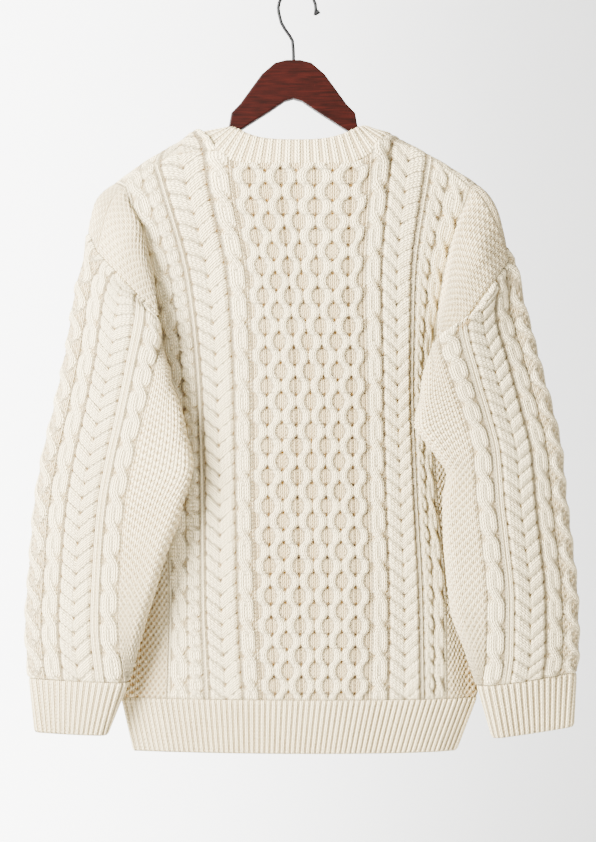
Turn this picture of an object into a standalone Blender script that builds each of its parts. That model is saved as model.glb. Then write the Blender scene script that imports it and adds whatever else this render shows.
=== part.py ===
# A cable-knit wool cardigan on a wooden hanger, hanging with its back to the viewer.
# The viewer looks along +Y, so the back of the cardigan faces -Y and its front faces +Y.
# Left and right are the viewer's. The origin is the inside top of the hook's crook.
# Sizes are in millimetres up to the moment a mesh is made.
import math

import bmesh
import bpy
import numpy as np

MM = 0.001

# Driving dimensions
WALL = 3.0              # plain knitted ground, under the raised stitches
SEAM_GAP = 0.3          # between two pieces that are sewn together
HEM_SEAM_Z = -741.0     # where the ribbed hem is joined
HEM_HEIGHT = 56.0
REPEAT = 31.0           # one repeat of the honeycomb and of the large ropes
BACK_ROWS = 72          # four rows for each repeat, 18 repeats
UNDERARM_ROW = 40       # the row where body and sleeve part
NECK_WALE = 72.25       # the wale where neckline and shoulder seam meet
UNDERARM_Z = -431.0     # the height of that row
HALF_PANEL = 222.0      # from the centre wale to the side seam
CABLE_EDGE = 157.0      # from the centre wale to the moss stitch
SLEEVE_LENGTH = 450.0   # from the armhole to the cuff, down the outer edge
SLEEVE_ROWS = 29
NECKBAND_HEIGHT = 26.0
NECK_RIBS = 42
BAND_WIDTH = 30.0
BAND_STEP = 4.2         # the outer front band lies this far over the inner one
BAND_LEVELS = [-797, -741, -640, -400, -236, -212]   # heights along the front bands
BAND_DEPTHS = [22, 25, 26, 28, 30, 24.5]             # how far forward the bands lie there
HEM_DRAWN_IN = (0.93, 0.885)   # how far the lower edge of the hem is drawn in, left and right
BUTTON_COUNT = 6
BUTTON_RADIUS = 10.5
WOOD_THICKNESS = 13.0
WIRE_RADIUS = 1.7

# The relief of each kind of stitch
HONEYCOMB_RELIEF = 3.0
ROPE_RELIEF = 3.4
RIB_RELIEF = 1.6
MOSS_RELIEF = 1.2

# Colours, sRGB
WOOL = (0.93, 0.89, 0.80)
WOOD = (0.32, 0.13, 0.09)
BLACK = (0.03, 0.03, 0.03)
BUTTON_BROWN = (0.36, 0.22, 0.12)

# The columns of the back from the centre outward: the wales that the coarse mesh follows
BODY_WALES = [0, 15.5, 31, 46.5, 62, NECK_WALE, 81, 89.5, 98, 106.5, 116.8, 128, 136, 145,
              CABLE_EDGE, 170, 195, 210, HALF_PANEL]
FRONT_WALES = [15, 31, 46.5, 62, 67, 69.6, NECK_WALE, 81, 98, 116.8, 128, 145, CABLE_EDGE,
               176, 195, 210, HALF_PANEL]
# The wales of the fronts' last rows as far as the neckline reaches
NECK_WALES = [15, 23, 31, 39, 46.5, 54, 62, 64.5, 67, 68.3, 69.6]
SLEEVE_WALES = [0, 14, 24, 33.5, 42.5, 51, 59.5, 68.5, 78.5, 88, 98]
SLEEVE_FAR_WALES = [0, 14, 33.5, 51, 68.5, 88, 98]
SEAM_ROWS = list(range(0, UNDERARM_ROW, 4)) + list(range(UNDERARM_ROW, BACK_ROWS + 1, 2))
SLEEVE_MOSS_STEPS = 3

# How the cables of the back lie at each level. The edges are x of the wales 62, 116 and 157
# on either side, depth is how far the centre stands behind the hanger's plane, and the two
# last columns say how far wale 157 recedes from that.
# z, centre, honeycomb L, honeycomb R, rib L, rib R, cable edge L, cable edge R, depth, back L, back R
LEVELS = [
    (-150, -1, -70, 76, -150, 141, -190, 190, 23, 8, 12),
    (-183, -1, -68, 75, -146, 137, -187, 187, 26, 10, 12),
    (-200, -0.5, -67, 74, -141, 134, -181, 182, 27, 10, 12),
    (-308, 5.5, -50.4, 68.3, -112, 120, -150, 152, 30, 17, 18),
    (-415, 13.7, -46.2, 70.9, -101, 118.7, -139, 140, 31, 21, 21),
    (-514, 15.8, -45.2, 72.5, -97.7, 121.8, -135.5, 144, 31, 20, 19),
    (-640, 17.9, -42, 75.6, -96.6, 128, -132.8, 154.4, 30, 17, 16),
    (-741, 18.9, -36.8, 74, -92.4, 129.7, -135, 155.4, 28, 13, 13),
]

# Where each wale ends at the neckline or the shoulder seam of the back
# wale, z on the left, z on the right
TOP_EDGE = [
    (0, -183, -183),
    (45, -183, -183),
    (58, -181.5, -178),
    (NECK_WALE, -170.5, -158),
    (98, -172.5, -164),
    (116, -184, -174.5),
    (137, -195, -190),
    (157, -208, -206),
    (170, -214, -216),
    (195, -236, -247),
    (222, -275, -283.5),
]

# The moss stitch beside the cables folds forward under each shoulder and runs back to the
# side seam below the arm. Each row gives x and y of the wales 170, 195 and 222.
# row, fold x, fold y, lobe x, lobe y, seam x, seam y
LEFT_SIDE = [
    (0, -145, -14, -165, -9, -184, 3),
    (12, -141, -12, -159, -7, -177, 4),
    (24, -141, -10, -157, -5, -172, 5),
    (34, -143, -9, -158, -4, -170, 5),
    (40, -145, -9, -157, -4, -168, 5),
    (46, -150, -8, -156, -9, -160, -10),
    (52, -152, -12, -153, -20, -154, -27),
    (58.5, -150.5, -25, -148.5, -34, -145, -39.5),
    (62, -155.5, -29, -157, -38, -161, -40.5),
    (66.5, -163.5, -28, -173, -36.5, -182, -36),
    (72, -188, -15, -198.5, -17, -208, -18),
]
RIGHT_SIDE = [
    (0, 164, -13, 176, -8, 188.5, 6),
    (12, 160, -11, 173, -6, 186, 8),
    (24, 153, -9, 167, -4, 181, 9),
    (34, 150, -9, 164, -4, 176, 9),
    (40, 149, -9, 161, -3, 172, 8),
    (46, 153, -8, 158, -10, 161.5, -11.5),
    (50, 154, -14, 156, -22, 157, -30),
    (53.2, 150.5, -25, 149.5, -34, 148, -39.5),
    (57, 156, -31, 161, -39, 170, -40),
    (62, 161.5, -31, 173, -38.5, 187, -36.5),
    (66.5, 169, -28, 185, -36, 202, -30),
    (72, 192, -12, 208, -13, 221.5, -6),
]
SIDE_ROUND = (210.0, 1.5, 8.5)   # a wale near the side seam, and its step in x and y from it
SHOULDER_DEPTH = (14.0, 9.5)     # how far behind the hanger's plane each shoulder seam lies

# The fronts pass over the top of the hanger's arms before they reach the shoulder seam
# wale, left x, left z, right x, right z
RIDGE = [
    (67, -99, -148.5, 98, -149.5),
    (69.6, -101, -147, 100, -150.5),
    (NECK_WALE, -103, -145, 102, -152),
    (98, -123, -158, 120, -162.5),
    (116, -140, -167.5, 138.5, -172.5),
    (137, -166, -184, 164, -187.5),
    (157, -191, -202, 188, -202.5),
    (170, -201, -208.5, 198.5, -211),
    (195, -212, -222, 211, -232),
    (222, -219.5, -253, 219.5, -267),
]
RIDGE_ROW = 68.4        # the row of the fronts that runs along the ridge
RIDGE_FRONT_Y = 12.5    # how far forward the cloth lies where it starts over the wood
RIDGE_STEPS = ((3.9, 12.5, 20), (1, 9.6, 6), (0, 0.5, 0))   # rows and mm below the ridge, and y
CROSSING_WALE = 67.0    # where the neckline itself crosses the ridge
FINE_ROWS = 3           # the last rows of the fronts, which have more wales
FRONT_ROWS = SEAM_ROWS[:-3] + [67, 68, 69, 70, 71, BACK_ROWS]

# The neckline of the fronts, from the front bands round to the shoulder seam
# wale, left x, right x, y, left z, right z
FRONT_NECK = [
    (15, -12, 18, 30, -236, -236),
    (31, -34, 38, 30, -231, -231),
    (46.5, -62, 64, 26, -210, -210),
    (62, -92, 92, 13, -163, -163),
    (64.5, -96, 96, 10, -154.5, -155),
]

# The front edges of the armholes, from the underarm to the ridge
# row, left x, left y, right x, right y
FRONT_ARMHOLE = [
    (40, -168, 5, 172, 8),
    (46, -176, 15, 181, 18),
    (52, -192, 21, 196, 22),
    (58, -207, 21, 210, 20),
    (64, -217, 12, 218, 12),
    (68.4, -219.5, 1, 219.5, 3),
]

# Sections across the sleeves, each a flattened ring between an outer and an inner edge.
# along: share of the sleeve's length. y and radius are given at the outer edge, the middle
# and the inner edge. under: how far past the inner edge the underarm lies, and its z.
# along, outer x, outer z, inner x, inner z, y1, y2, y3, r1, r2, r3, under, under z
LEFT_SLEEVE = [
    (0.07, -228, -297, -141, -362, -6, -19, -40, 15, 25, 9, 24, -439),
    (0.25, -241, -377, -131, -409, -8, -24, -41, 16, 20, 9, 34, -447),
    (0.39, -253.6, -440, -116.6, -456, -8, -28, -43, 16, 17, 9, 42, -463),
    (0.49, -264.6, -487, -108, -496, -8, -29, -43, 15, 16, 9, 40, -498),
    (0.61, -273.5, -543, -119.7, -541, -8, -29, -42, 15, 15.5, 9, 24, -542),
    (0.75, -278.8, -608, -141, -603, -8, -27, -39, 14, 15, 9.5, 8, -604),
    (0.88, -282.5, -666, -158.6, -662, -8, -23, -33, 13, 14, 10, 0, -662),
    (1.00, -279, -720, -176, -722, -8, -18, -24, 12, 13, 10.5, 0, -722),
]
RIGHT_SLEEVE = [
    (0.07, 236, -318, 139.7, -379, 0, -17, -40, 14, 24, 9, 24, -445),
    (0.24, 253, -388, 128, -427, -5, -24, -41, 16, 20, 9, 36, -453),
    (0.36, 266.7, -442, 122.4, -455, -7, -28, -44, 16, 17, 9, 40, -463),
    (0.45, 275, -480, 143, -485, -8, -28, -42, 16, 17, 9, 28, -487),
    (0.51, 277.7, -506, 156, -507, -8, -27, -39, 15, 16, 9, 16, -508),
    (0.57, 280, -531, 151.6, -534.5, -8, -27, -38, 15, 16, 9, 20, -535),
    (0.67, 285.6, -576.5, 153, -576.5, -8, -27, -38, 14, 15.5, 9, 18, -577),
    (0.81, 292, -639.5, 159, -639.5, -8, -26, -36, 13, 15, 9.5, 10, -640),
    (0.92, 293, -687, 176.4, -692, -8, -22, -29, 13, 14, 10, 2, -692),
    (1.00, 291, -714, 188, -725.5, -8, -18, -23, 12, 13, 10.5, 0, -725.5),
]
TWIST = 11.0            # how far the sleeve's centre wale lies in from its outer edge
CUFF_RIBS = 32
HEM_RIBS = 56           # on the back; the fronts together have nearly as many
UNDERARM_WAY = (0.9, 0.1, 0.1)   # the way that a sleeve leaves the underarm, on the right
UNDERARM_GAP = 0.7      # added to the gap of the sleeve seam at the underarm
SEAM_RING = 5.0         # the first ring of a sleeve and of the neckband, along the cloth
# outer x, outer z, inner x, inner z of each cuff's lower edge
LEFT_CUFF_END = (-273, -776, -198.5, -778)
RIGHT_CUFF_END = (288, -770, 204.5, -781)

# The hanger's right half: x and z of its outline, top edge from the neck outward, then back
WOOD_CENTRE = -4.0
WOOD_TOP = [(7, -73), (19, -76), (33, -88), (44, -103), (56, -119.5), (65, -128.6),
            (67.5, -142.5), (84, -157), (97, -164), (110, -170), (124, -173.5), (142, -182),
            (165, -194.5), (190, -211.5), (196, -216)]
WOOD_TIP = [(198.5, -221), (197, -226.5), (192, -229)]
WOOD_BOTTOM = [(150, -201), (100, -171), (54, -145.5), (25, -127), (9, -116), (0, -113.5)]


def clear_scene():
    for old in list(bpy.data.objects):
        bpy.data.objects.remove(old, do_unlink=True)


# A smooth curve through the knots that never swings past them
def smooth(knots, values, at):
    knots = np.asarray(knots, float)
    values = np.asarray(values, float)
    at = np.asarray(at, float)
    tail = (1,) * (values.ndim - 1)
    step = np.diff(knots)
    slope = np.diff(values, axis=0) / step.reshape((-1,) + tail)
    before = step[:-1].reshape((-1,) + tail)
    after = step[1:].reshape((-1,) + tail)
    same = slope[:-1] * slope[1:] > 0
    low = np.where(same, slope[:-1], 1.0)
    high = np.where(same, slope[1:], 1.0)
    mean = 3 * (before + after) / ((2 * after + before) / low + (after + 2 * before) / high)
    inner = np.where(same, mean, 0.0)
    tangent = np.concatenate([slope[:1], inner, slope[-1:]])
    cell = np.clip(np.searchsorted(knots, at, side="right") - 1, 0, len(step) - 1)
    u = ((at - knots[cell]) / step[cell]).reshape((-1,) + tail)
    width = step[cell].reshape((-1,) + tail)
    return (values[cell] * (2 * u**3 - 3 * u**2 + 1) + tangent[cell] * width * (u**3 - 2 * u**2 + u)
            + values[cell + 1] * (3 * u**2 - 2 * u**3) + tangent[cell + 1] * width * (u**3 - u**2))


def column(table, number):
    return [row[number] for row in table]


def unit(vectors):
    length = np.linalg.norm(vectors, axis=-1, keepdims=True)
    return vectors / np.maximum(length, 1e-9)


# z of a wale's upper end on the back, side -1 is the left and 1 the right
def top_edge_z(wales, side):
    return smooth(column(TOP_EDGE, 0), column(TOP_EDGE, 1 if side < 0 else 2), wales)


# x and y of the cable part of the back for unsigned wales at heights z
def cable_part(wales, z, side):
    levels = np.array(LEVELS, float)[::-1]
    near, far, edge, recede = (2, 4, 6, 9) if side < 0 else (3, 5, 7, 10)
    at_level = smooth(levels[:, 0], levels, z.ravel())
    knots = [0, 62, 116, CABLE_EDGE]
    x = np.empty(z.size)
    for number, (wale, row) in enumerate(zip(wales.ravel(), at_level)):
        x[number] = smooth(knots, [row[1], row[near], row[far], row[edge]], [wale])[0]
    y = -at_level[:, 8] + at_level[:, recede] * (wales.ravel() / CABLE_EDGE) ** 2.2
    return x.reshape(z.shape), y.reshape(z.shape)


# z of each wale at each row: level up to the underarm, then drawn together to the top edge
def back_heights(wales, rows, side):
    tops = top_edge_z(wales, side)
    above = np.clip((rows - UNDERARM_ROW) / (BACK_ROWS - UNDERARM_ROW), 0, 1)
    below = np.clip(rows / UNDERARM_ROW, 0, 1)
    level = HEM_SEAM_Z + below * (UNDERARM_Z - HEM_SEAM_Z)
    return level[:, None] + above[:, None] * (tops - UNDERARM_Z)[None, :]


# The extra knot that rounds the side between the back and the front, below the underarm
def round_side(inner, seam, rows, towards):
    wale, step_x, step_y = SIDE_ROUND
    share = (wale - 195.0) / (HALF_PANEL - 195.0)
    straight = inner + (seam - inner) * share
    turned = seam - np.sign(seam[:, :1]) * np.array([step_x, 0.0]) + np.array([0.0, towards * step_y])
    bend = np.clip((UNDERARM_ROW - rows) / 8, 0, 1)[:, None]
    return straight + (turned - straight) * bend


# Points of the back for unsigned wales (columns) and rows, in the side's half
def back_half(wales, rows, side):
    wales = np.asarray(wales, float)
    rows = np.asarray(rows, float)
    table = np.array(LEFT_SIDE if side < 0 else RIGHT_SIDE, float)
    knots = np.array([0, 31, 62, 90, 116, 137, CABLE_EDGE, 170, 195, SIDE_ROUND[0], HALF_PANEL])
    z = back_heights(knots, rows, side)
    inner = knots <= CABLE_EDGE
    x, y = cable_part(np.broadcast_to(knots[inner], z[:, inner].shape), z[:, inner], side)
    depth = -SHOULDER_DEPTH[0 if side < 0 else 1]
    lean = np.clip((rows - 63) / (BACK_ROWS - 63), 0, 1)[:, None] ** 1.5
    lean = lean * np.clip((knots[inner] - 60) / 25, 0, 1)[None, :]
    y = y + (depth - y) * lean
    outer = smooth(table[:, 0], table[:, 1:], rows)
    seam = outer[:, 4:6]
    near_seam = round_side(outer[:, 2:4], seam, rows, -1)
    x = np.concatenate([x, outer[:, [0, 2]], near_seam[:, :1], seam[:, :1]], axis=1)
    y = np.concatenate([y, outer[:, [1, 3]], near_seam[:, 1:], seam[:, 1:]], axis=1)
    points = smooth(knots, np.stack([x, y, z], axis=-1).transpose(1, 0, 2), wales)
    points = points.transpose(1, 0, 2)
    points[:, :, 2] = back_heights(wales, rows, side)
    return points


# Points of the whole back, for signed wales
def back_surface(wales, rows):
    wales = np.asarray(wales, float)
    points = np.empty((len(rows), len(wales), 3))
    left = wales <= 0
    points[:, left] = back_half(-wales[left], rows, -1)
    points[:, ~left] = back_half(wales[~left], rows, 1)
    return points


# Points of one front, for unsigned wales from the front band to the side seam
def front_surface(wales, rows, side):
    wales = np.asarray(wales, float)
    rows = np.asarray(rows, float)
    left = side < 0
    raised = 0.0 if left else BAND_STEP
    ridge = np.array(RIDGE, float)[:, [0, 1, 2] if left else [0, 3, 4]]
    neck = np.array(FRONT_NECK, float)[:, [0, 1, 3, 4] if left else [0, 2, 3, 5]]
    arm = np.array(FRONT_ARMHOLE, float)[:, [0, 1, 2] if left else [0, 3, 4]]
    side_table = np.array(LEFT_SIDE if left else RIGHT_SIDE, float)
    knots = np.array([15, 31, 46.5, 62, 64.5, CROSSING_WALE, 68.3, 69.6, NECK_WALE, 81, 90, 98,
                      116, 137, CABLE_EDGE, 176, 195, SIDE_ROUND[0], HALF_PANEL])
    knot_rows = np.array([0, 12, 24, 34, UNDERARM_ROW, 46, 52, 58, 64.5, 66, 67.4, RIDGE_ROW,
                          69.2, 70.2, 71.1, BACK_ROWS])
    seam = smooth(side_table[:, 0], side_table[:, 5:7], knot_rows)
    above = knot_rows > UNDERARM_ROW
    seam[above] = smooth(arm[:, 0], arm[:, 1:], np.minimum(knot_rows[above], RIDGE_ROW))
    corner = back_half([NECK_WALE], [BACK_ROWS], side)[0, 0]
    net = np.zeros((len(knot_rows), len(knots), 3))
    for number, wale in enumerate(knots):
        over = wale >= CROSSING_WALE
        if over:
            crest_x, crest_z = smooth(ridge[:, 0], ridge[:, 1:], [wale])[0]
            crest_row = np.interp(wale, [CROSSING_WALE, NECK_WALE], [BACK_ROWS, RIDGE_ROW])
            path = [(crest_row - below, crest_x, y, crest_z - drop)
                    for below, y, drop in RIDGE_STEPS]
            if wale > CROSSING_WALE:
                end = back_half([wale], [BACK_ROWS], side)[0, 0]
                if wale < NECK_WALE:
                    share = (NECK_WALE - wale) / (NECK_WALE - CROSSING_WALE)
                    end = corner + (np.array(path[-1][1:]) - corner) * share
                    end = end + np.array([-side * 3.0, -2.0, 0.0]) * 4 * share * (1 - share)
                middle = (crest_row + BACK_ROWS) / 2 - 0.4
                path.append((middle, crest_x * 0.6 + end[0] * 0.4, end[1] * 0.72,
                             crest_z * 0.7 + end[2] * 0.3))
                path.append((BACK_ROWS, *end))
            path = np.array(path, float)
            z = np.interp(knot_rows, [0, UNDERARM_ROW, path[0, 0]],
                          [HEM_SEAM_Z, UNDERARM_Z, path[0, 3]])
        else:
            end = smooth(neck[:, 0], neck[:, 1:], [wale])[0]
            z = np.interp(knot_rows, [0, UNDERARM_ROW, BACK_ROWS], [HEM_SEAM_Z, UNDERARM_Z, end[2]])
        flat = min(wale, CABLE_EDGE)
        near_band = max(0.0, 1 - (wale - 15) / 45)
        x, _ = cable_part(np.full(len(knot_rows), flat), np.minimum(z, -150.0), side)
        edge, _ = cable_part(np.full(len(knot_rows), 15.0), np.minimum(z, -150.0), side)
        x = x + (band_centre(z) + side * BAND_WIDTH / 2 - edge) * near_band
        y = band_depth(z) - 10.0 * (flat / CABLE_EDGE) ** 2.2
        y = y + raised * near_band
        y = y - np.interp(knot_rows, [34, 64.5], [0, 4]) * (wale / CABLE_EDGE)
        if wale > CABLE_EDGE:
            mix = (wale - CABLE_EDGE) / (HALF_PANEL - CABLE_EDGE)
            x = x + (seam[:, 0] - x) * mix
            y = y + (seam[:, 1] - y) * mix ** 1.6
        if wale == SIDE_ROUND[0]:
            turned = round_side(net[:, number - 1, :2], seam, knot_rows, 1)
            x, y = turned[:, 0], turned[:, 1]
        if over:
            near = np.interp(knot_rows, [56, path[0, 0]], [0, 1])
            x = x + (crest_x - x) * near
            y = y + (RIDGE_FRONT_Y - y) * near
            high = knot_rows >= path[0, 0]
            x[high], y[high], z[high] = smooth(path[:, 0], path[:, 1:], knot_rows[high]).T
        else:
            near = np.clip((knot_rows - 46) / (BACK_ROWS - 46), 0, 1) ** 1.5
            x = x + (end[0] - x) * near * (wale > 15)
            y = y + (end[1] - y) * near ** 1.4
            x[-1], y[-1], z[-1] = end
        net[:, number] = np.stack([x, y, z], axis=-1)
    along = smooth(knot_rows, net, rows)
    return smooth(knots, along.transpose(1, 0, 2), wales).transpose(1, 0, 2)


# The line of the front bands: their middle's x and how far forward they lie at heights z
def band_centre(z):
    return np.interp(z, [HEM_SEAM_Z, -236], [18, 3])


def band_depth(z):
    return np.interp(z, BAND_LEVELS, BAND_DEPTHS)


# Unit normals of a grid of points, outward for wales that run left to right and rows upward
def grid_normals(points, flip):
    across = np.gradient(points, axis=1)
    along = np.gradient(points, axis=0)
    normal = unit(np.cross(across, along))
    return -normal if flip else normal


# The raised stitches, in millimetres over the ground, at wale s and height t
def honeycomb(s, t):
    cell = 31.0
    a = np.cos(2 * np.pi * s / cell) * np.cos(2 * np.pi * t / REPEAT)
    b = 0.5 * (np.cos(4 * np.pi * s / cell) + np.cos(4 * np.pi * t / REPEAT))
    return HONEYCOMB_RELIEF * np.clip(0.62 - 0.42 * a - 0.2 * b * (a > 0), 0, 1)


def rope(s, t, centre, width, repeat):
    across = (s - centre) / (width / 2)
    swell = 0.84 + 0.16 * np.cos(2 * np.pi * t / repeat + across)
    return ROPE_RELIEF * swell * np.sqrt(np.clip(1 - across ** 2, 0, 1))


def chevron(s, t, centre, width):
    across = np.abs(s - centre) / (width / 2)
    wave = 0.5 + 0.5 * np.cos(2 * np.pi * (t / (REPEAT / 2) - across))
    edge = np.clip((1 - across) * 4, 0.25, 1)
    return ROPE_RELIEF * edge * (0.45 + 0.55 * wave)


def body_relief(wales, rows):
    s, t = np.meshgrid(np.abs(wales), np.asarray(rows) * REPEAT / 4)
    high = np.where(s <= 62, honeycomb(s, t), 0.0)
    high = high + np.where((s > 62) & (s < 81), rope(s, t, NECK_WALE, 17, REPEAT), 0)
    high = high + np.where((s >= 81) & (s <= 114), chevron(s, t, 98, 33), 0)
    high = high + np.where((s > 114) & (s < 119.6), RIB_RELIEF, 0)
    high = high + np.where((s > 119.6) & (s < 136), rope(s, t, 128, 16, REPEAT / 2), 0)
    high = high + np.where((s > 136) & (s < 153.5), rope(s, t, 145, 17, REPEAT), 0)
    return high + np.where(s > 170, MOSS_RELIEF, 0)


def sleeve_relief(wales, heights):
    q, t = np.meshgrid(np.abs(wales), heights)
    high = np.where(q < 14, ROPE_RELIEF * (0.45 - 0.35 * np.cos(2 * np.pi * t / REPEAT)), 0.0)
    high = high + np.where((q > 14) & (q < 33.5), rope(q, t, 24, 19, REPEAT), 0)
    high = high + np.where((q >= 33.5) & (q <= 68.5), chevron(q, t, 51, 35), 0)
    high = high + np.where((q > 78) & (q < 98), rope(q, t, 88, 19, REPEAT), 0)
    return high + np.where(q > 98, MOSS_RELIEF, 0)


# Lowers the relief to nothing at the edges of a grid
def fade(high, ends_across=True):
    high = high.copy()
    high[0] = high[-1] = 0.0
    high[1] *= 0.7
    high[-2] *= 0.4
    if ends_across:
        high[:, 0] = high[:, -1] = 0.0
    return high


# The step to one side of a seam: at right angles to it, in the cloth, towards the inside
def seam_step(edge, normals, inside):
    step = unit(np.cross(np.gradient(edge, axis=0), normals))
    side = np.sign(np.sum(step * (inside - edge), axis=1, keepdims=True))
    return step * side * SEAM_GAP / 2


def new_material(name, colour, roughness, metallic=0.0):
    material = bpy.data.materials.new(name)
    material.use_nodes = True
    shader = material.node_tree.nodes["Principled BSDF"]
    linear = [(c / 12.92 if c <= 0.04045 else ((c + 0.055) / 1.055) ** 2.4) for c in colour]
    shader.inputs["Base Color"].default_value = (*linear, 1.0)
    shader.inputs["Roughness"].default_value = roughness
    shader.inputs["Metallic"].default_value = metallic
    material.diffuse_color = (*colour, 1.0)
    return material


def place(obj, collection, material):
    collection.objects.link(obj)
    obj.data.materials.append(material)
    return obj


# Triangles between two rows of points that may differ in number. Each row is a list of
# (share along the row, vertex number). Where both have a point at the same share, the first
# row leads, or the second where turn says so: two pieces that meet at a seam need the same
# triangles across it.
def join_rows(first, second, turn=None):
    faces = []
    i = j = 0
    while i < len(first) - 1 or j < len(second) - 1:
        level = abs(first[i][0] - second[j][0]) < 1e-9
        turned = level and turn is not None and turn(first[i][0]) and j < len(second) - 1
        go_first = not turned and (j == len(second) - 1 or (
            i < len(first) - 1 and first[i + 1][0] <= second[j + 1][0] + 1e-9))
        if go_first:
            faces.append((first[i][1], second[j][1], first[i + 1][1]))
            i += 1
        else:
            faces.append((first[i][1], second[j][1], second[j + 1][1]))
            j += 1
    return faces


# A closed wall between an outer and an inner sheet, which are unlike sections: the outer one
# carries the stitches and the inner one is plain and coarser. A sheet is a list of rows, each
# (height, shares, points). A tube's rows close on themselves.
def wall(name, outer, inner, tube, collection, material, top_turn=None, side_turn=None):
    points = []
    faces = []
    sheets = []
    for sheet in (outer, inner):
        rows = []
        for height, shares, row in sheet:
            numbered = [(share, len(points) + k) for k, share in enumerate(shares)]
            points.extend(row)
            if tube:
                numbered.append((shares[0] + 1.0, numbered[0][1]))
            rows.append((height, numbered))
        for (_, lower), (_, upper) in zip(rows, rows[1:]):
            faces += join_rows(lower, upper)
        sheets.append(rows)
    for end, turn in ((0, None), (-1, top_turn)):
        faces += join_rows(sheets[0][end][1], sheets[1][end][1], turn)
    if not tube:
        for end in (0, -1):
            edges = [[(height, row[end][1]) for height, row in rows] for rows in sheets]
            faces += join_rows(edges[0], edges[1], side_turn)
    mesh = bpy.data.meshes.new(name)
    mesh.from_pydata([tuple(p * MM) for p in points], [], faces)
    shell = bmesh.new()
    shell.from_mesh(mesh)
    bmesh.ops.recalc_face_normals(shell, faces=shell.faces)
    if shell.calc_volume(signed=True) < 0:
        bmesh.ops.reverse_faces(shell, faces=shell.faces)
    shell.to_mesh(mesh)
    shell.free()
    mesh.shade_smooth()
    mesh.set_sharp_from_angle(angle=math.radians(50))
    return place(bpy.data.objects.new(name, mesh), collection, material)


# Rows of a sheet from a grid of points
def sheet_rows(heights, shares, grid):
    return [(height, list(shares), list(row)) for height, row in zip(heights, grid)]


def every(numbers, step):
    picked = list(numbers[::step])
    if picked[-1] != numbers[-1]:
        picked.append(numbers[-1])
    return picked


# Moves the four edges of a grid off its seams
def shift_edges(points, normals):
    moved = points.copy()
    moved[:, 0] += seam_step(points[:, 0], normals[:, 0], points[:, 1])
    moved[:, -1] += seam_step(points[:, -1], normals[:, -1], points[:, -2])
    moved[-1] += seam_step(points[-1], normals[-1], points[-2])
    moved[0, :, 2] += SEAM_GAP / 2
    return moved


def flat_normals(normals):
    level = normals.copy()
    level[:, 2] = 0.0
    return unit(level)


def back_grid():
    wales = np.array([-w for w in BODY_WALES[:0:-1]] + BODY_WALES, float)
    rows = np.arange(BACK_ROWS + 1)
    points = back_surface(wales, rows)
    normals = grid_normals(points, False)
    normals[0] = flat_normals(normals[0])
    grid = {"wales": wales, "rows": rows, "points": points, "normals": normals}
    straight_sides(grid)
    return grid


# Straight lines between the rows where the side edges of the back are sewn
def straight_sides(grid):
    for key in ("points", "normals"):
        for col in (0, -1):
            edge = grid[key][:, col]
            kept = edge[SEAM_ROWS].copy()
            for axis in range(3):
                edge[:, axis] = np.interp(grid["rows"], SEAM_ROWS, kept[:, axis])
    grid["normals"] = unit(grid["normals"])


# One front's grid. Its side seam and shoulder seam share the points of the back, and both
# pieces take the mean of their normals there.
def front_grid(side, back):
    wales = np.array(FRONT_WALES, float)
    rows = np.array(FRONT_ROWS)
    own = back["wales"] * side
    order = np.argsort(own)
    shoulder = [k for k in order if own[k] >= NECK_WALE]
    top_wales = np.concatenate([NECK_WALES, own[shoulder]])
    points = front_surface(wales, rows, side)
    normals = grid_normals(points, side > 0)
    edge = int(np.argmax(own))
    seam_rows = np.arange(UNDERARM_ROW + 1)
    near = front_surface([wales[-2], wales[-1]], seam_rows, side)
    near[:, -1] = back["points"][seam_rows, edge]
    seam_normals = grid_normals(near, side > 0)[:, -1]
    mean = unit(seam_normals + back["normals"][seam_rows, edge])
    mean[0] = flat_normals(mean[:1])[0]
    mean[-1] = unit(np.array([side * 0.5, 0.0, -1.0]))
    back["normals"][seam_rows, edge] = mean
    below = rows <= UNDERARM_ROW
    points[below, -1] = back["points"][rows[below], edge]
    normals[below, -1] = mean[rows[below]]
    fine = front_surface(top_wales, rows[-FINE_ROWS:], side)
    fine[-1, len(NECK_WALES):] = back["points"][-1, shoulder]
    fine_normals = grid_normals(fine, side > 0)
    top = fine[-1]
    top_normals = fine_normals[-1]
    count = len(NECK_WALES)
    mean = unit(top_normals[count:] + back["normals"][-1, shoulder])
    top_normals[count:] = mean
    back["normals"][-1, shoulder] = mean
    points[-1] = [top[np.argmin(abs(top_wales - w))] for w in wales]
    normals[-1] = [top_normals[np.argmin(abs(top_wales - w))] for w in wales]
    normals[0] = flat_normals(normals[0])
    normals[:, 0] = (0.0, 1.0, 0.0)
    fine_normals[:, 0] = (0.0, 1.0, 0.0)
    return {"wales": wales, "rows": rows, "points": points, "normals": normals, "top": top,
            "top_wales": top_wales, "top_normals": top_normals, "fine": fine,
            "fine_normals": fine_normals, "neck_count": count + 1}


def build_back(back, collection, material):
    wales, rows = back["wales"], back["rows"]
    points, normals = back["points"], back["normals"]
    moved = shift_edges(points, normals)
    outer = moved + normals * fade(body_relief(wales, rows))[:, :, None]
    inner = moved - normals * WALL
    keep_rows = SEAM_ROWS[:-1]
    half = [HALF_PANEL, 210, 195, 170, CABLE_EDGE, 128, 98, NECK_WALE, 46.5]
    keep = [k for k, w in enumerate(wales) if abs(w) in half or w == 0]
    shares = wales / HALF_PANEL
    inner_rows = sheet_rows(keep_rows, shares[keep], inner[np.ix_(keep_rows, keep)])
    inner_rows.append((BACK_ROWS, list(shares), list(inner[-1])))
    wall("back", sheet_rows(rows, shares, outer), inner_rows, False, collection, material,
         side_turn=lambda row: row >= UNDERARM_ROW)


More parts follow.
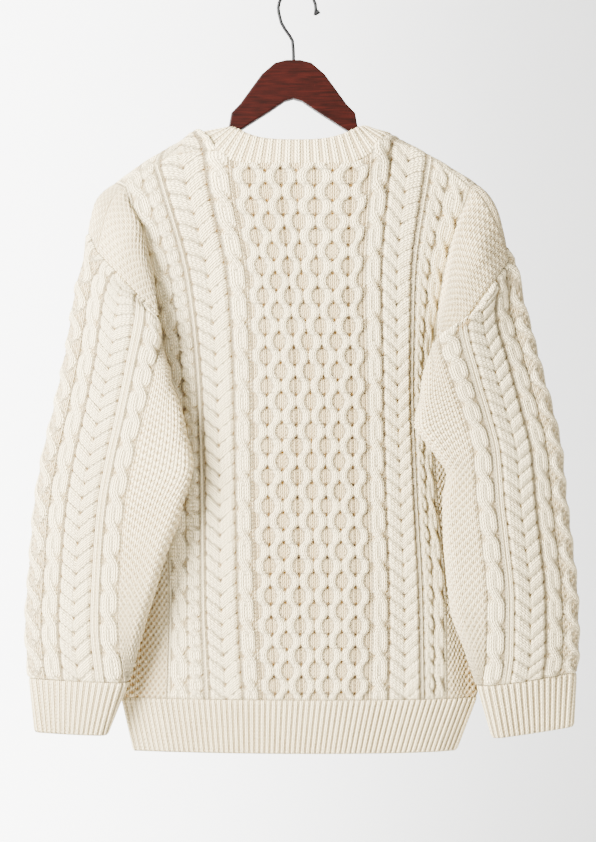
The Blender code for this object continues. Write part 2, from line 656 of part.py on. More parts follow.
def build_front(name, side, front, collection, material):
    wales, rows = front["wales"], front["rows"]
    points, normals = front["points"], front["normals"]
    moved = shift_edges(points, normals)
    moved[:, 0] = points[:, 0] + np.array([side * SEAM_GAP / 2, 0, 0])
    fine, fine_normals = front["fine"], front["fine_normals"]
    fine_moved = fine.copy()
    fine_moved[-1] += seam_step(fine[-1], fine_normals[-1], fine[-2])
    for near, far in ((0, 0), (-1, -1)):
        fine_moved[:, near] = moved[-FINE_ROWS:, far]
        fine_normals[:, near] = normals[-FINE_ROWS:, far]
    relief = fade(body_relief(wales, rows))
    outer = moved + normals * relief[:, :, None]
    inner = moved - normals * WALL
    fine_inner = fine_moved - fine_normals * WALL
    shares = wales / HALF_PANEL
    top_shares = front["top_wales"] / HALF_PANEL
    keep = [0, 2, 3, 4, 5, 6, 8, 10] + list(range(12, len(wales)))
    outer_rows = sheet_rows(rows[:-FINE_ROWS], shares, outer)
    outer_rows += sheet_rows(rows[-FINE_ROWS:], top_shares, fine_moved)
    inner_rows = sheet_rows(rows[:-FINE_ROWS], shares[keep], inner[:, keep])
    inner_rows += [row for k, row in enumerate(sheet_rows(rows[-FINE_ROWS:], top_shares, fine_inner))
                   if k != FINE_ROWS - 2]
    corner = NECK_WALE / HALF_PANEL - 1e-6
    wall(name, outer_rows, inner_rows, False, collection, material,
         top_turn=lambda share: (share > corner) == (side < 0))


# A flattened ring as points at even steps, starting at the outer edge and passing the side
# that faces the viewer first, and the length to the inner edge along that side
def ring(outer_x, inner_x, y_at, radius_at):
    sign = 1.0 if inner_x > outer_x else -1.0
    start = outer_x + sign * radius_at[0]
    stop = inner_x - sign * radius_at[2]
    u = np.linspace(0, 1, 61)
    x = start + (stop - start) * u
    weights = [(1 - u) * (1 - 2 * u), 4 * u * (1 - u), u * (2 * u - 1)]
    y = sum(w * v for w, v in zip(weights, y_at))
    radius = sum(w * v for w, v in zip(weights, radius_at))
    near = np.stack([x, y - radius], axis=1)
    far = np.stack([x, y + radius], axis=1)[::-1]
    turn = np.radians(np.linspace(-90, 90, 21))[1:-1]
    inner_cap = np.stack([stop + sign * radius_at[2] * np.cos(turn),
                          y[-1] + radius_at[2] * np.sin(turn)], axis=1)
    outer_cap = np.stack([start - sign * radius_at[0] * np.cos(turn),
                          y[0] - radius_at[0] * np.sin(turn)], axis=1)
    loop = np.concatenate([outer_cap[9:], near, inner_cap, far, outer_cap[:10]])
    length = np.concatenate([[0], np.cumsum(np.linalg.norm(np.diff(loop, axis=0), axis=1))])
    inner_length = length[len(outer_cap[9:]) + len(near) + 9]
    return loop, length, inner_length


# Distances of the sleeve's wales from its centre wale, where half the ring is half_length
def wale_distances(wales, half_length):
    edge = SLEEVE_WALES[-1]
    past = np.clip(wales - edge, 0, None)
    return np.where(wales <= edge, wales, edge + past * (half_length - edge))


# The wales of half a sleeve: millimetres as far as the moss stitch, then its share plus 98
def half_wales(wales, moss_steps):
    return np.concatenate([np.array(wales, float),
                           SLEEVE_WALES[-1] + np.arange(1, moss_steps + 1) / moss_steps])


# Both sides of one section, each from the centre wale to the underarm
def sleeve_section(row, both):
    along, outer_x, outer_z, inner_x, inner_z = row[:5]
    loop, length, inner_length = ring(outer_x, inner_x, row[5:8], row[8:11])
    under, under_z = row[11:13]
    total = length[-1]
    twist = TWIST
    sides = []
    for near, wales in zip((True, False), both):
        if near:
            half = inner_length + under - twist
            at = twist + wale_distances(wales, half)
        else:
            half = total - inner_length - under + twist
            at = (twist - wale_distances(wales, half)) % total
        x = np.interp(at, length, loop[:, 0])
        y = np.interp(at, length, loop[:, 1])
        share = wale_distances(wales, half) / half
        if near:
            inner_share = (inner_length - twist) / half
            z = smooth([0, inner_share, 1.001], [outer_z, inner_z, under_z], share)
        else:
            z = outer_z + (under_z - outer_z) * share
        sides.append(np.stack([x, y, z], axis=1))
    return sides


# The armhole, in two halves from the shoulder to the underarm: along the back and along the
# front. The body and the sleeve turn towards each other there, so both take a normal halfway
# between their own, and away is the sleeve's way out of the seam.
def armhole(side, table, back, front):
    edge = int(np.argmax(back["wales"] * side))
    back_rows = [row for row in SEAM_ROWS if row >= UNDERARM_ROW][::-1]
    front_rows = [k for k, row in enumerate(front["rows"]) if row >= UNDERARM_ROW][::-1]
    places = ((back, back_rows, edge, edge - side), (front, front_rows, -1, -2))
    moss = SLEEVE_WALES[-1]
    halves = []
    wales = []
    for grid, rows, col, inside in places:
        points = grid["points"][rows, col]
        length = np.concatenate([[0], np.cumsum(np.linalg.norm(np.diff(points, axis=0), axis=1))])
        wales.append(np.where(length <= moss, length,
                              moss + (length - moss) / (length[-1] - moss)))
        halves.append({"points": points, "length": length,
                       "inside": unit(grid["points"][rows, inside] - points)})
    for half, target, turn in zip(halves, sleeve_section(table[0], wales), (-side, side)):
        along = unit(np.gradient(half["points"], axis=0))
        way = unit(target - half["points"]) - half["inside"]
        way = way - along * np.sum(way * along, axis=1, keepdims=True)
        half["away"] = unit(way)
        half["normals"] = unit(np.cross(half["away"], along)) * turn
    under = unit(np.array(UNDERARM_WAY) * [side, 1, 1])
    for key in ("away", "normals"):
        shoulder = unit(halves[0][key][0] + halves[1][key][0])
        bottom = under if key == "away" else unit(np.array([side * 0.5, 0.0, -1.0]))
        for half in halves:
            half[key][0] = shoulder
            half[key][-1] = bottom
    for half, (grid, rows, col, _) in zip(halves, places):
        grid["normals"][rows, col] = half["normals"]
    front["top_normals"][-1] = halves[0]["normals"][0]
    return halves


# A grid of sleeve points for shares of its length, on both sides of the centre wale
def sleeve_surface(table, holes, alongs, both):
    knots = [0.0, SEAM_RING / SLEEVE_LENGTH] + [row[0] for row in table]
    sections = [[], []]
    for half, hole in enumerate(holes):
        at = wale_distances(both[half], hole["length"][-1])
        ring_points = hole["points"] + hole["away"] * SEAM_RING
        sections[half].append(smooth(hole["length"], hole["points"], at))
        sections[half].append(smooth(hole["length"], ring_points, at))
    for row in table:
        for half, section in enumerate(sleeve_section(row, both)):
            sections[half].append(section)
    near, far = [smooth(knots, np.array(s), alongs) for s in sections]
    return np.concatenate([near, far[:, -2:0:-1]], axis=1)


def tube_normals(points, flip):
    closed = np.concatenate([points[:, -2:], points, points[:, :2]], axis=1)
    return grid_normals(closed, flip)[:, 2:-2]


def build_sleeve(name, side, table, holes, collection, material):
    near = half_wales(SLEEVE_WALES, SLEEVE_MOSS_STEPS)
    far = half_wales(SLEEVE_FAR_WALES, SLEEVE_MOSS_STEPS)
    alongs = np.concatenate([[0, 1.4 / SLEEVE_ROWS], np.arange(2, SLEEVE_ROWS + 1) / SLEEVE_ROWS])
    points = sleeve_surface(table, holes, alongs, (near, far))
    normals = tube_normals(points, side < 0)
    near_shares = np.linspace(0, 0.5, len(near))
    far_shares = np.linspace(0, 0.5, len(far))
    shares = np.concatenate([near_shares, 1 - far_shares[-2:0:-1]])
    heights = alongs * SLEEVE_LENGTH
    signed = np.concatenate([near, far[-2:0:-1]])
    relief = fade(sleeve_relief(signed, heights), False)
    normals[-1] = flat_normals(normals[-1])
    points[-1, :, 2] += SEAM_GAP / 2
    outer = points + normals * relief[:, :, None]
    inner = points - normals * WALL
    around = []
    for hole, half, share in zip(holes, (near, far), (near_shares, far_shares)):
        at = wale_distances(half, hole["length"][-1])
        around.append(np.interp(hole["length"], at, share))
    seam_shares = list(np.concatenate([around[0], 1 - around[1][-2:0:-1]]))
    whole = {key: np.concatenate([holes[0][key], holes[1][key][-2:0:-1]])
             for key in ("points", "normals", "away")}
    outer_rows = []
    inner_rows = []
    underarm = len(holes[0]["points"]) - 1
    for distance in (SEAM_GAP, SEAM_RING):
        line = whole["points"] + whole["away"] * distance
        line[underarm - 4:underarm + 1] += whole["away"][underarm - 4:underarm + 1] * UNDERARM_GAP
        outer_rows.append((distance, seam_shares, list(line)))
        inner_rows.append((distance, seam_shares, list(line - whole["normals"] * WALL)))
    outer_rows += sheet_rows(heights[1:], shares, outer[1:])
    keep = list(range(0, len(shares), 2))
    for k in [1] + every(list(range(3, len(alongs))), 2):
        picked = keep if k > 3 else list(range(len(shares)))
        inner_rows.append((heights[k], list(shares[picked]), list(inner[k, picked])))
    wall(name, outer_rows, inner_rows, True, collection, material)
    end = points[-1].copy()
    end[:, 2] -= SEAM_GAP / 2
    return end


# Points at even spacing along a polyline
def spread(points, count, closed):
    line = np.concatenate([points, points[:1]]) if closed else points
    length = np.concatenate([[0], np.cumsum(np.linalg.norm(np.diff(line, axis=0), axis=1))])
    at = np.linspace(0, length[-1], count + 1)
    if closed:
        at = at[:-1]
    return np.stack([np.interp(at, length, line[:, k]) for k in range(3)], axis=1)


# Normals in the level plane of a line of points that runs around the body
def level_normals(points, closed, centre):
    if closed:
        loop = np.concatenate([points[-1:], points, points[:1]])
        tangent = loop[2:] - loop[:-2]
    else:
        tangent = np.gradient(points, axis=0)
    normal = unit(np.stack([tangent[:, 1], -tangent[:, 0], 0 * tangent[:, 0]], axis=1))
    outward = np.sign(np.sum(normal[:, :2] * (points[:, :2] - centre[:2]), axis=1))
    return normal * np.sign(outward.sum())


# A ribbed piece below a seam: its crowns and grooves alternate point by point. Where it doesn't
# close on itself, ends gives the direction that each of its two ends faces.
def build_ribbing(name, top, bottom, count, ends, centre, collection, material):
    closed = ends is None
    upper = spread(top, count, closed)
    lower = spread(bottom, count, closed)
    shares = np.arange(len(upper)) / count
    crown = np.where(np.arange(len(upper)) % 2 == 0, 0.0, RIB_RELIEF)[:, None]
    outer_rows = []
    inner_rows = []
    keep = every(list(range(len(upper))), 4)
    for share in (0, 1):
        line = upper + (lower - upper) * share
        if share == 0:
            line[:, 2] -= SEAM_GAP / 2
        normal = level_normals(line, closed, centre)
        if not closed:
            for end, beside in ((0, 1), (-1, -2)):
                normal[end] = ends[end]
                along = np.array([-ends[end][1], ends[end][0], 0.0])
                towards = np.sign(np.dot(along, line[beside] - line[end]))
                line[end] += along * towards * SEAM_GAP / 2
        outer_rows.append((share, list(shares), list(line + normal * crown)))
        plain = line - normal * WALL
        inner_rows.append((share, list(shares[keep]), list(plain[keep])))
    return wall(name, outer_rows, inner_rows, closed, collection, material)


# The lower edge of the ribbed hem: drawn in at the side seams, whose x are in edges, and not
# at start_x
def hem_end(top, start_x, edges):
    low = top.copy()
    for edge_x in edges:
        drawn = edge_x * HEM_DRAWN_IN[0 if edge_x < 0 else 1]
        half = (top[:, 0] - start_x) * np.sign(edge_x) > 0
        low[half, 0] = start_x + (top[half, 0] - start_x) * (drawn - start_x) / (edge_x - start_x)
    low[:, 1] = top[:, 1] * 0.88
    low[:, 2] = HEM_SEAM_Z - HEM_HEIGHT
    return low


def build_hem(back, fronts, collection, material):
    centre = np.array([5.0, 0.0, 0.0])
    ends = [back["normals"][0, 0], back["normals"][0, -1]]
    line = back["points"][0]
    build_ribbing("hem_back", line, hem_end(line, 0.0, line[[0, -1], 0]), HEM_RIBS * 2, ends,
                  centre, collection, material)
    for name, side, front in (("hem_front_left", -1, fronts[0]), ("hem_front_right", 1, fronts[1])):
        line = front["points"][0]
        build_ribbing(name, line, hem_end(line, line[0, 0], line[-1:, 0]), HEM_RIBS - 6,
                      [np.array([0.0, 1.0, 0.0]), ends[0 if side < 0 else 1]], centre, collection,
                      material)


def build_cuff(name, sleeve_end, end, collection, material):
    top = sleeve_end - np.array([0.0, 0.0, SEAM_GAP / 2])
    outer_x, outer_z, inner_x, inner_z = end
    loop, length, _ = ring(outer_x, inner_x, (-9, -14, -17), (9.5, 10.5, 9.5))
    at = np.linspace(0, length[-1], 120, endpoint=False)
    x = np.interp((at + TWIST) % length[-1], length, loop[:, 0])
    y = np.interp((at + TWIST) % length[-1], length, loop[:, 1])
    z = outer_z + (inner_z - outer_z) * (x - outer_x) / (inner_x - outer_x)
    low = np.stack([x, y, z], axis=1)
    centre = top.mean(axis=0)
    build_ribbing(name, top, low, CUFF_RIBS * 2, None, centre, collection, material)


# The ribbed band round the neck. Its first row takes the points of the neckline.
def build_neckband(back, left, right, collection, material):
    inner = [k for k, w in enumerate(back["wales"]) if abs(w) < NECK_WALE]
    pieces = []
    for key, top in (("points", "top"), ("normals", "top_normals")):
        count = left["neck_count"]
        pieces.append(np.concatenate([left[top][:count], back[key][-1, inner],
                                      right[top][:count][::-1]]))
    points, normals = pieces
    length = np.concatenate([[0], np.cumsum(np.linalg.norm(np.diff(points, axis=0), axis=1))])
    top = neckband_top(points)
    step = unit(seam_step(points, normals, top))
    trim = np.zeros(points.shape)
    trim[0, 0] = -SEAM_GAP / 2
    trim[-1, 0] = SEAM_GAP / 2
    step[0] = step[-1] = (0.0, 0.0, 1.0)
    seam = points + trim
    at = np.linspace(0, length[-1], NECK_RIBS * 2 + 1)
    even = [np.stack([np.interp(at, length, line[:, k]) for k in range(3)], axis=1)
            for line in (seam, top + trim)]
    crown = np.where(np.arange(len(at)) % 2 == 0, 0.0, RIB_RELIEF)[:, None]
    shares = at / length[-1]
    outer_rows = []
    inner_rows = []
    for distance in (SEAM_GAP, SEAM_RING / 2):
        line = seam + step * distance
        line[count - 5:count + 1] += step[count - 5:count + 1] * SEAM_GAP
        outer_rows.append((distance, list(length / length[-1]), list(line)))
        inner_rows.append((distance, list(length / length[-1]), list(line - normals * WALL)))
    keep = [k for k in range(len(at)) if k % 4 == 0 or abs(even[0][k, 1]) < 13]
    for share in (0.4, 1.0):
        line = even[0] + (even[1] - even[0]) * share
        normal = unit(np.cross(np.gradient(line, axis=0), even[1] - even[0]))
        outer_rows.append((share, list(shares), list(line + normal * crown)))
        plain = line - normal * WALL
        inner_rows.append((share, list(shares[keep]), list(plain[keep])))
    wall("neckband", outer_rows, inner_rows, False, collection, material)


# The free edge of the neckband: it leans in over the shoulders and stands at the back
def neckband_top(points):
    lean = np.abs(points[:, 0] - 1.0) / 98.0
    top = points.copy()
    top[:, 0] = 1.0 + (points[:, 0] - 1.0) * (1 - 0.235 * lean ** 2)
    top[:, 1] = points[:, 1] * 0.80
    top[:, 2] = points[:, 2] + NECKBAND_HEIGHT * (0.94 - 0.14 * lean ** 3)
    return top


# A front band runs from the hem's lower edge to the top of the neckband
def build_band(name, lift, collection, material):
    outer_rows = []
    inner_rows = []
    across = np.linspace(-1, 1, 5)
    half = BAND_WIDTH / 2 - SEAM_GAP / 2
    for z in BAND_LEVELS:
        line = np.array([(band_centre(z) + half * k, band_depth(z) + lift, z) for k in across])
        outer_rows.append((z, list(across), list(line)))
        inner_rows.append((z, list(across[::2]), list(line[::2] - np.array([0, WALL, 0]))))
    wall(name, outer_rows, inner_rows, False, collection, material)


def build_buttons(collection, material):
    first, last = HEM_SEAM_Z - 26, -252
    for number in range(BUTTON_COUNT):
        z = first + (last - first) * number / (BUTTON_COUNT - 1)
        bpy.ops.mesh.primitive_cylinder_add(vertices=14, radius=BUTTON_RADIUS * MM, depth=4 * MM)
        button = bpy.context.object
        button.name = f"button_{number + 1}"
        button.data.name = button.name
        for old in list(button.users_collection):
            old.objects.unlink(button)
        y = max(band_depth(z - BUTTON_RADIUS), band_depth(z + BUTTON_RADIUS))
        y += BAND_STEP + 2 + SEAM_GAP
        button.location = (band_centre(z) * MM, y * MM, z * MM)
        button.rotation_euler = (math.radians(90), 0, 0)
        button.data.shade_smooth()
        button.data.set_sharp_from_angle(angle=math.radians(40))
        place(button, collection, material)


# Both halves of the hanger's outline, rounded by a small bevel
def build_hanger(collection, material):
    half = WOOD_TOP + WOOD_TIP + WOOD_BOTTOM
    outline = half + [(-x, z) for x, z in half[-2::-1]]
    curve = bpy.data.curves.new("hanger_wood", "CURVE")
    curve.dimensions = "2D"
    curve.fill_mode = "BOTH"
    curve.bevel_depth = 1.5 * MM
    curve.bevel_resolution = 1
    curve.extrude = (WOOD_THICKNESS / 2 - 1.5) * MM
    curve.offset = -1.5 * MM
    spline = curve.splines.new("POLY")
    spline.points.add(len(outline) - 1)
    for point, (x, z) in zip(spline.points, outline):
        point.co = (x * MM, z * MM, 0, 1)
    spline.use_cyclic_u = True
    hanger = place(bpy.data.objects.new("hanger_wood", curve), collection, material)
    hanger.rotation_euler = (math.radians(90), 0, 0)
    hanger.location.x = WOOD_CENTRE * MM
    return hanger


# The hook: a straight stem, an easy bend to the left and the crook, with a thick end
def build_hook(collection, material):
    radius = 18.0 + WIRE_RADIUS
    crook = [(radius * math.sin(math.radians(a)), radius * math.cos(math.radians(a)) - 18.0)
             for a in range(-102, 118, 15)]
    stem = [(-3.6, -72.7), (-3.9, -62), (-4.8, -52), (-8, -46.5), (-12.6, -40), (-16.6, -33)]
    tail = [(19.4, -24.2), (23.2, -21.0)]
    route = stem + crook + tail
    curve = bpy.data.curves.new("hanger_hook", "CURVE")
    curve.dimensions = "3D"
    curve.bevel_depth = WIRE_RADIUS * MM
    curve.bevel_resolution = 2
    curve.use_fill_caps = True
    spline = curve.splines.new("POLY")
    spline.points.add(len(route) - 1)
    for number, (point, (x, z)) in enumerate(zip(spline.points, route)):
        point.co = (x * MM, 0, z * MM, 1)
        point.radius = 1.45 if number == len(route) - 1 else 1.0
    return place(bpy.data.objects.new("hanger_hook", curve), collection, material)


def main():
    clear_scene()
    collection = bpy.data.collections.new("cardigan on a hanger")
    bpy.context.scene.collection.children.link(collection)
    wool = [new_material(f"wool {name}", WOOL, 0.95) for name in
            ("back", "front left", "front right", "sleeve left", "sleeve right", "hem", "cuffs",
             "neckband", "button band", "buttonhole band")]
    back = back_grid()
    left = front_grid(-1, back)
    right = front_grid(1, back)
    holes_left = armhole(-1, LEFT_SLEEVE, back, left)
    holes_right = armhole(1, RIGHT_SLEEVE, back, right)
    straight_sides(back)
    build_back(back, collection, wool[0])
    build_front("front_left", -1, left, collection, wool[1])
    build_front("front_right", 1, right, collection, wool[2])
    sleeve_left = build_sleeve("sleeve_left", -1, LEFT_SLEEVE, holes_left, collection, wool[3])
    sleeve_right = build_sleeve("sleeve_right", 1, RIGHT_SLEEVE, holes_right, collection, wool[4])
    build_hem(back, (left, right), collection, wool[5])
    build_cuff("cuff_left", sleeve_left, LEFT_CUFF_END, collection, wool[6])
    build_cuff("cuff_right", sleeve_right, RIGHT_CUFF_END, collection, wool[6])
    build_neckband(back, left, right, collection, wool[7])
    build_band("button_band", 0.0, collection, wool[8])
    build_band("buttonhole_band", BAND_STEP, collection, wool[9])
    build_buttons(collection, new_material("brown buttons", BUTTON_BROWN, 0.5))
    build_hanger(collection, new_material("stained wood", WOOD, 0.35))
    build_hook(collection, new_material("black wire", BLACK, 0.4, 0.6))


main()
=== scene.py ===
# A cream cable-knit cardigan on a wooden hanger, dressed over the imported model.
# The back faces -Y, where the camera stands. Left and right are the viewer's.
# Garment sizes are in millimetres until a vertex is moved.
import math

import bmesh
import bpy
import numpy as np
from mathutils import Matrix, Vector


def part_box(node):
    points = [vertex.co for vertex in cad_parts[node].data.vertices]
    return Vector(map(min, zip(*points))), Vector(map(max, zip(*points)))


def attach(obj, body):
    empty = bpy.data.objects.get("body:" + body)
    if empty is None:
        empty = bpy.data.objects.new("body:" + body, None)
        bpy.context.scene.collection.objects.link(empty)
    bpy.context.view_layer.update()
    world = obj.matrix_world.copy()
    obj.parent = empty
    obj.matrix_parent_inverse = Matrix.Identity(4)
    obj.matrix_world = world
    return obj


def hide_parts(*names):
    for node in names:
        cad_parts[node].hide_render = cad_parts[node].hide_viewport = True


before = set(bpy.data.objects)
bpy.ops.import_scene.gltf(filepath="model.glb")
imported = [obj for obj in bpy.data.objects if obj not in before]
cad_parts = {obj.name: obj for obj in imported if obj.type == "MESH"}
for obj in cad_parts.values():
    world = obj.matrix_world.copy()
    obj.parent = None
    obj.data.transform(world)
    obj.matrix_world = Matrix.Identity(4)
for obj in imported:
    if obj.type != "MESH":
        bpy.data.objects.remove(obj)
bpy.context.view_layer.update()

mm = 0.001
print("stage 1: frame loaded")

# Sizes of the garment
hemSeamZ = -741.0    # where the ribbed hem is joined
hemHeight = 56.0
cableRepeat = 31.0    # one repeat of the honeycomb and of the large ropes
backRows = 72    # four rows for each repeat, 18 repeats
underarmRow = 40    # the row where body and sleeve part
neckWale = 72.25    # the wale where neckline and shoulder seam meet
underarmZ = -431.0    # the height of that row
halfPanel = 222.0    # from the centre wale to the side seam
cableEdge = 157.0    # from the centre wale to the moss stitch
sleeveLength = 450.0    # from the armhole to the cuff, down the outer edge
neckbandHeight = 26.0
bandWidth = 30.0
bandStep = 4.2    # the outer front band lies this far over the inner one
bandLevels = [-797, -741, -640, -400, -236, -212]    # heights along the front bands
bandDepths = [22, 25, 26, 28, 30, 24.5]    # how far forward the bands lie there
hemDrawnIn = (0.93, 0.885)    # how far the lower edge of the hem is drawn in, left and right
# The columns of the back from the centre outward: the wales that the coarse mesh follows
bodyWales = [0, 15.5, 31, 46.5, 62, neckWale, 81, 89.5, 98, 106.5, 116.8, 128, 136, 145,
              cableEdge, 170, 195, 210, halfPanel]
frontWales = [15, 31, 46.5, 62, 67, 69.6, neckWale, 81, 98, 116.8, 128, 145, cableEdge,
               176, 195, 210, halfPanel]
# The wales of the fronts' last rows as far as the neckline reaches
neckWales = [15, 23, 31, 39, 46.5, 54, 62, 64.5, 67, 68.3, 69.6]
sleeveWales = [0, 14, 24, 33.5, 42.5, 51, 59.5, 68.5, 78.5, 88, 98]
seamRows = list(range(0, underarmRow, 4)) + list(range(underarmRow, backRows + 1, 2))
# How the cables of the back lie at each level. The edges are x of the wales 62, 116 and 157
# on either side, depth is how far the centre stands behind the hanger's plane, and the two
# last columns say how far wale 157 recedes from that.
# z, centre, honeycomb left and right, rib left and right, cable edge left and right, depth,
# recess left and right
cableLevels = [
    (-150, -1, -70, 76, -150, 141, -190, 190, 23, 8, 12),
    (-183, -1, -68, 75, -146, 137, -187, 187, 26, 10, 12),
    (-200, -0.5, -67, 74, -141, 134, -181, 182, 27, 10, 12),
    (-308, 5.5, -50.4, 68.3, -112, 120, -150, 152, 30, 17, 18),
    (-415, 13.7, -46.2, 70.9, -101, 118.7, -139, 140, 31, 21, 21),
    (-514, 15.8, -45.2, 72.5, -97.7, 121.8, -135.5, 144, 31, 20, 19),
    (-640, 17.9, -42, 75.6, -96.6, 128, -132.8, 154.4, 30, 17, 16),
    (-741, 18.9, -36.8, 74, -92.4, 129.7, -135, 155.4, 28, 13, 13),
]
# Where each wale ends at the neckline or the shoulder seam of the back
# wale, z on the left, z on the right
topEdge = [
    (0, -183, -183),
    (45, -183, -183),
    (58, -181.5, -178),
    (neckWale, -170.5, -158),
    (98, -172.5, -164),
    (116, -184, -174.5),
    (137, -195, -190),
    (157, -208, -206),
    (170, -214, -216),
    (195, -236, -247),
    (222, -275, -283.5),
]
# The moss stitch beside the cables folds forward under each shoulder and runs back to the
# side seam below the arm. Each row gives x and y of the wales 170, 195 and 222.
# row, fold x, fold y, lobe x, lobe y, seam x, seam y
leftSide = [
    (0, -145, -14, -165, -9, -184, 3),
    (12, -141, -12, -159, -7, -177, 4),
    (24, -141, -10, -157, -5, -172, 5),
    (34, -143, -9, -158, -4, -170, 5),
    (40, -145, -9, -157, -4, -168, 5),
    (46, -150, -8, -156, -9, -160, -10),
    (52, -152, -12, -153, -20, -154, -27),
    (58.5, -150.5, -25, -148.5, -34, -145, -39.5),
    (62, -155.5, -29, -157, -38, -161, -40.5),
    (66.5, -163.5, -28, -173, -36.5, -182, -36),
    (72, -188, -15, -198.5, -17, -208, -18),
]
rightSide = [
    (0, 164, -13, 176, -8, 188.5, 6),
    (12, 160, -11, 173, -6, 186, 8),
    (24, 153, -9, 167, -4, 181, 9),
    (34, 150, -9, 164, -4, 176, 9),
    (40, 149, -9, 161, -3, 172, 8),
    (46, 153, -8, 158, -10, 161.5, -11.5),
    (50, 154, -14, 156, -22, 157, -30),
    (53.2, 150.5, -25, 149.5, -34, 148, -39.5),
    (57, 156, -31, 161, -39, 170, -40),
    (62, 161.5, -31, 173, -38.5, 187, -36.5),
    (66.5, 169, -28, 185, -36, 202, -30),
    (72, 192, -12, 208, -13, 221.5, -6),
]
sideRound = (210.0, 1.5, 8.5)   # a wale near the side seam, and its step in x and y from it
shoulderDepth = (14.0, 9.5)     # how far behind the hanger's plane each shoulder seam lies
# The fronts pass over the top of the hanger's arms before they reach the shoulder seam
# wale, left x, left z, right x, right z
ridgeLine = [
    (67, -99, -148.5, 98, -149.5),
    (69.6, -101, -147, 100, -150.5),
    (neckWale, -103, -145, 102, -152),
    (98, -123, -158, 120, -162.5),
    (116, -140, -167.5, 138.5, -172.5),
    (137, -166, -184, 164, -187.5),
    (157, -191, -202, 188, -202.5),
    (170, -201, -208.5, 198.5, -211),
    (195, -212, -222, 211, -232),
    (222, -219.5, -253, 219.5, -267),
]
ridgeRow = 68.4        # the row of the fronts that runs along the ridge
ridgeFrontY = 12.5    # how far forward the cloth lies where it starts over the wood
ridgeSteps = ((3.9, 12.5, 20), (1, 9.6, 6), (0, 0.5, 0))   # rows and mm below the ridge, and y
crossingWale = 67.0    # where the neckline itself crosses the ridge
frontRows = seamRows[:-3] + [67, 68, 69, 70, 71, backRows]
# The neckline of the fronts, from the front bands round to the shoulder seam
# wale, left x, right x, y, left z, right z
frontNeck = [
    (15, -12, 18, 30, -236, -236),
    (31, -34, 38, 30, -231, -231),
    (46.5, -62, 64, 26, -210, -210),
    (62, -92, 92, 13, -163, -163),
    (64.5, -96, 96, 10, -154.5, -155),
]
# The front edges of the armholes, from the underarm to the ridge
# row, left x, left y, right x, right y
frontArmhole = [
    (40, -168, 5, 172, 8),
    (46, -176, 15, 181, 18),
    (52, -192, 21, 196, 22),
    (58, -207, 21, 210, 20),
    (64, -217, 12, 218, 12),
    (68.4, -219.5, 1, 219.5, 3),
]
# Sections across the sleeves, each a flattened ring between an outer and an inner edge.
# along: share of the sleeve's length. y and radius are given at the outer edge, the middle
# and the inner edge. under: how far past the inner edge the underarm lies, and its z.
# along, outer x, outer z, inner x, inner z, y1, y2, y3, r1, r2, r3, under, under z
leftSleeve = [
    (0.07, -228, -297, -141, -362, -6, -19, -40, 15, 25, 9, 24, -439),
    (0.25, -241, -377, -131, -409, -8, -24, -41, 16, 20, 9, 34, -447),
    (0.39, -253.6, -440, -116.6, -456, -8, -28, -43, 16, 17, 9, 42, -463),
    (0.49, -264.6, -487, -108, -496, -8, -29, -43, 15, 16, 9, 40, -498),
    (0.61, -273.5, -543, -119.7, -541, -8, -29, -42, 15, 15.5, 9, 24, -542),
    (0.75, -278.8, -608, -141, -603, -8, -27, -39, 14, 15, 9.5, 8, -604),
    (0.88, -282.5, -666, -158.6, -662, -8, -23, -33, 13, 14, 10, 0, -662),
    (1.00, -279, -720, -176, -722, -8, -18, -24, 12, 13, 10.5, 0, -722),
]
rightSleeve = [
    (0.07, 236, -318, 139.7, -379, 0, -17, -40, 14, 24, 9, 24, -445),
    (0.24, 253, -388, 128, -427, -5, -24, -41, 16, 20, 9, 36, -453),
    (0.36, 266.7, -442, 122.4, -455, -7, -28, -44, 16, 17, 9, 40, -463),
    (0.45, 275, -480, 143, -485, -8, -28, -42, 16, 17, 9, 28, -487),
    (0.51, 277.7, -506, 156, -507, -8, -27, -39, 15, 16, 9, 16, -508),
    (0.57, 280, -531, 151.6, -534.5, -8, -27, -38, 15, 16, 9, 20, -535),
    (0.67, 285.6, -576.5, 153, -576.5, -8, -27, -38, 14, 15.5, 9, 18, -577),
    (0.81, 292, -639.5, 159, -639.5, -8, -26, -36, 13, 15, 9.5, 10, -640),
    (0.92, 293, -687, 176.4, -692, -8, -22, -29, 13, 14, 10, 2, -692),
    (1.00, 291, -714, 188, -725.5, -8, -18, -23, 12, 13, 10.5, 0, -725.5),
]
sleeveTwist = 11.0            # how far the sleeve's centre wale lies in from its outer edge
underarmWay = (0.9, 0.1, 0.1)   # the way that a sleeve leaves the underarm, on the right
seamRing = 5.0         # the first ring of a sleeve and of the neckband, along the cloth
# outer x, outer z, inner x, inner z of each cuff's lower edge
leftCuffEnd = (-273, -776, -198.5, -778)
rightCuffEnd = (288, -770, 204.5, -781)


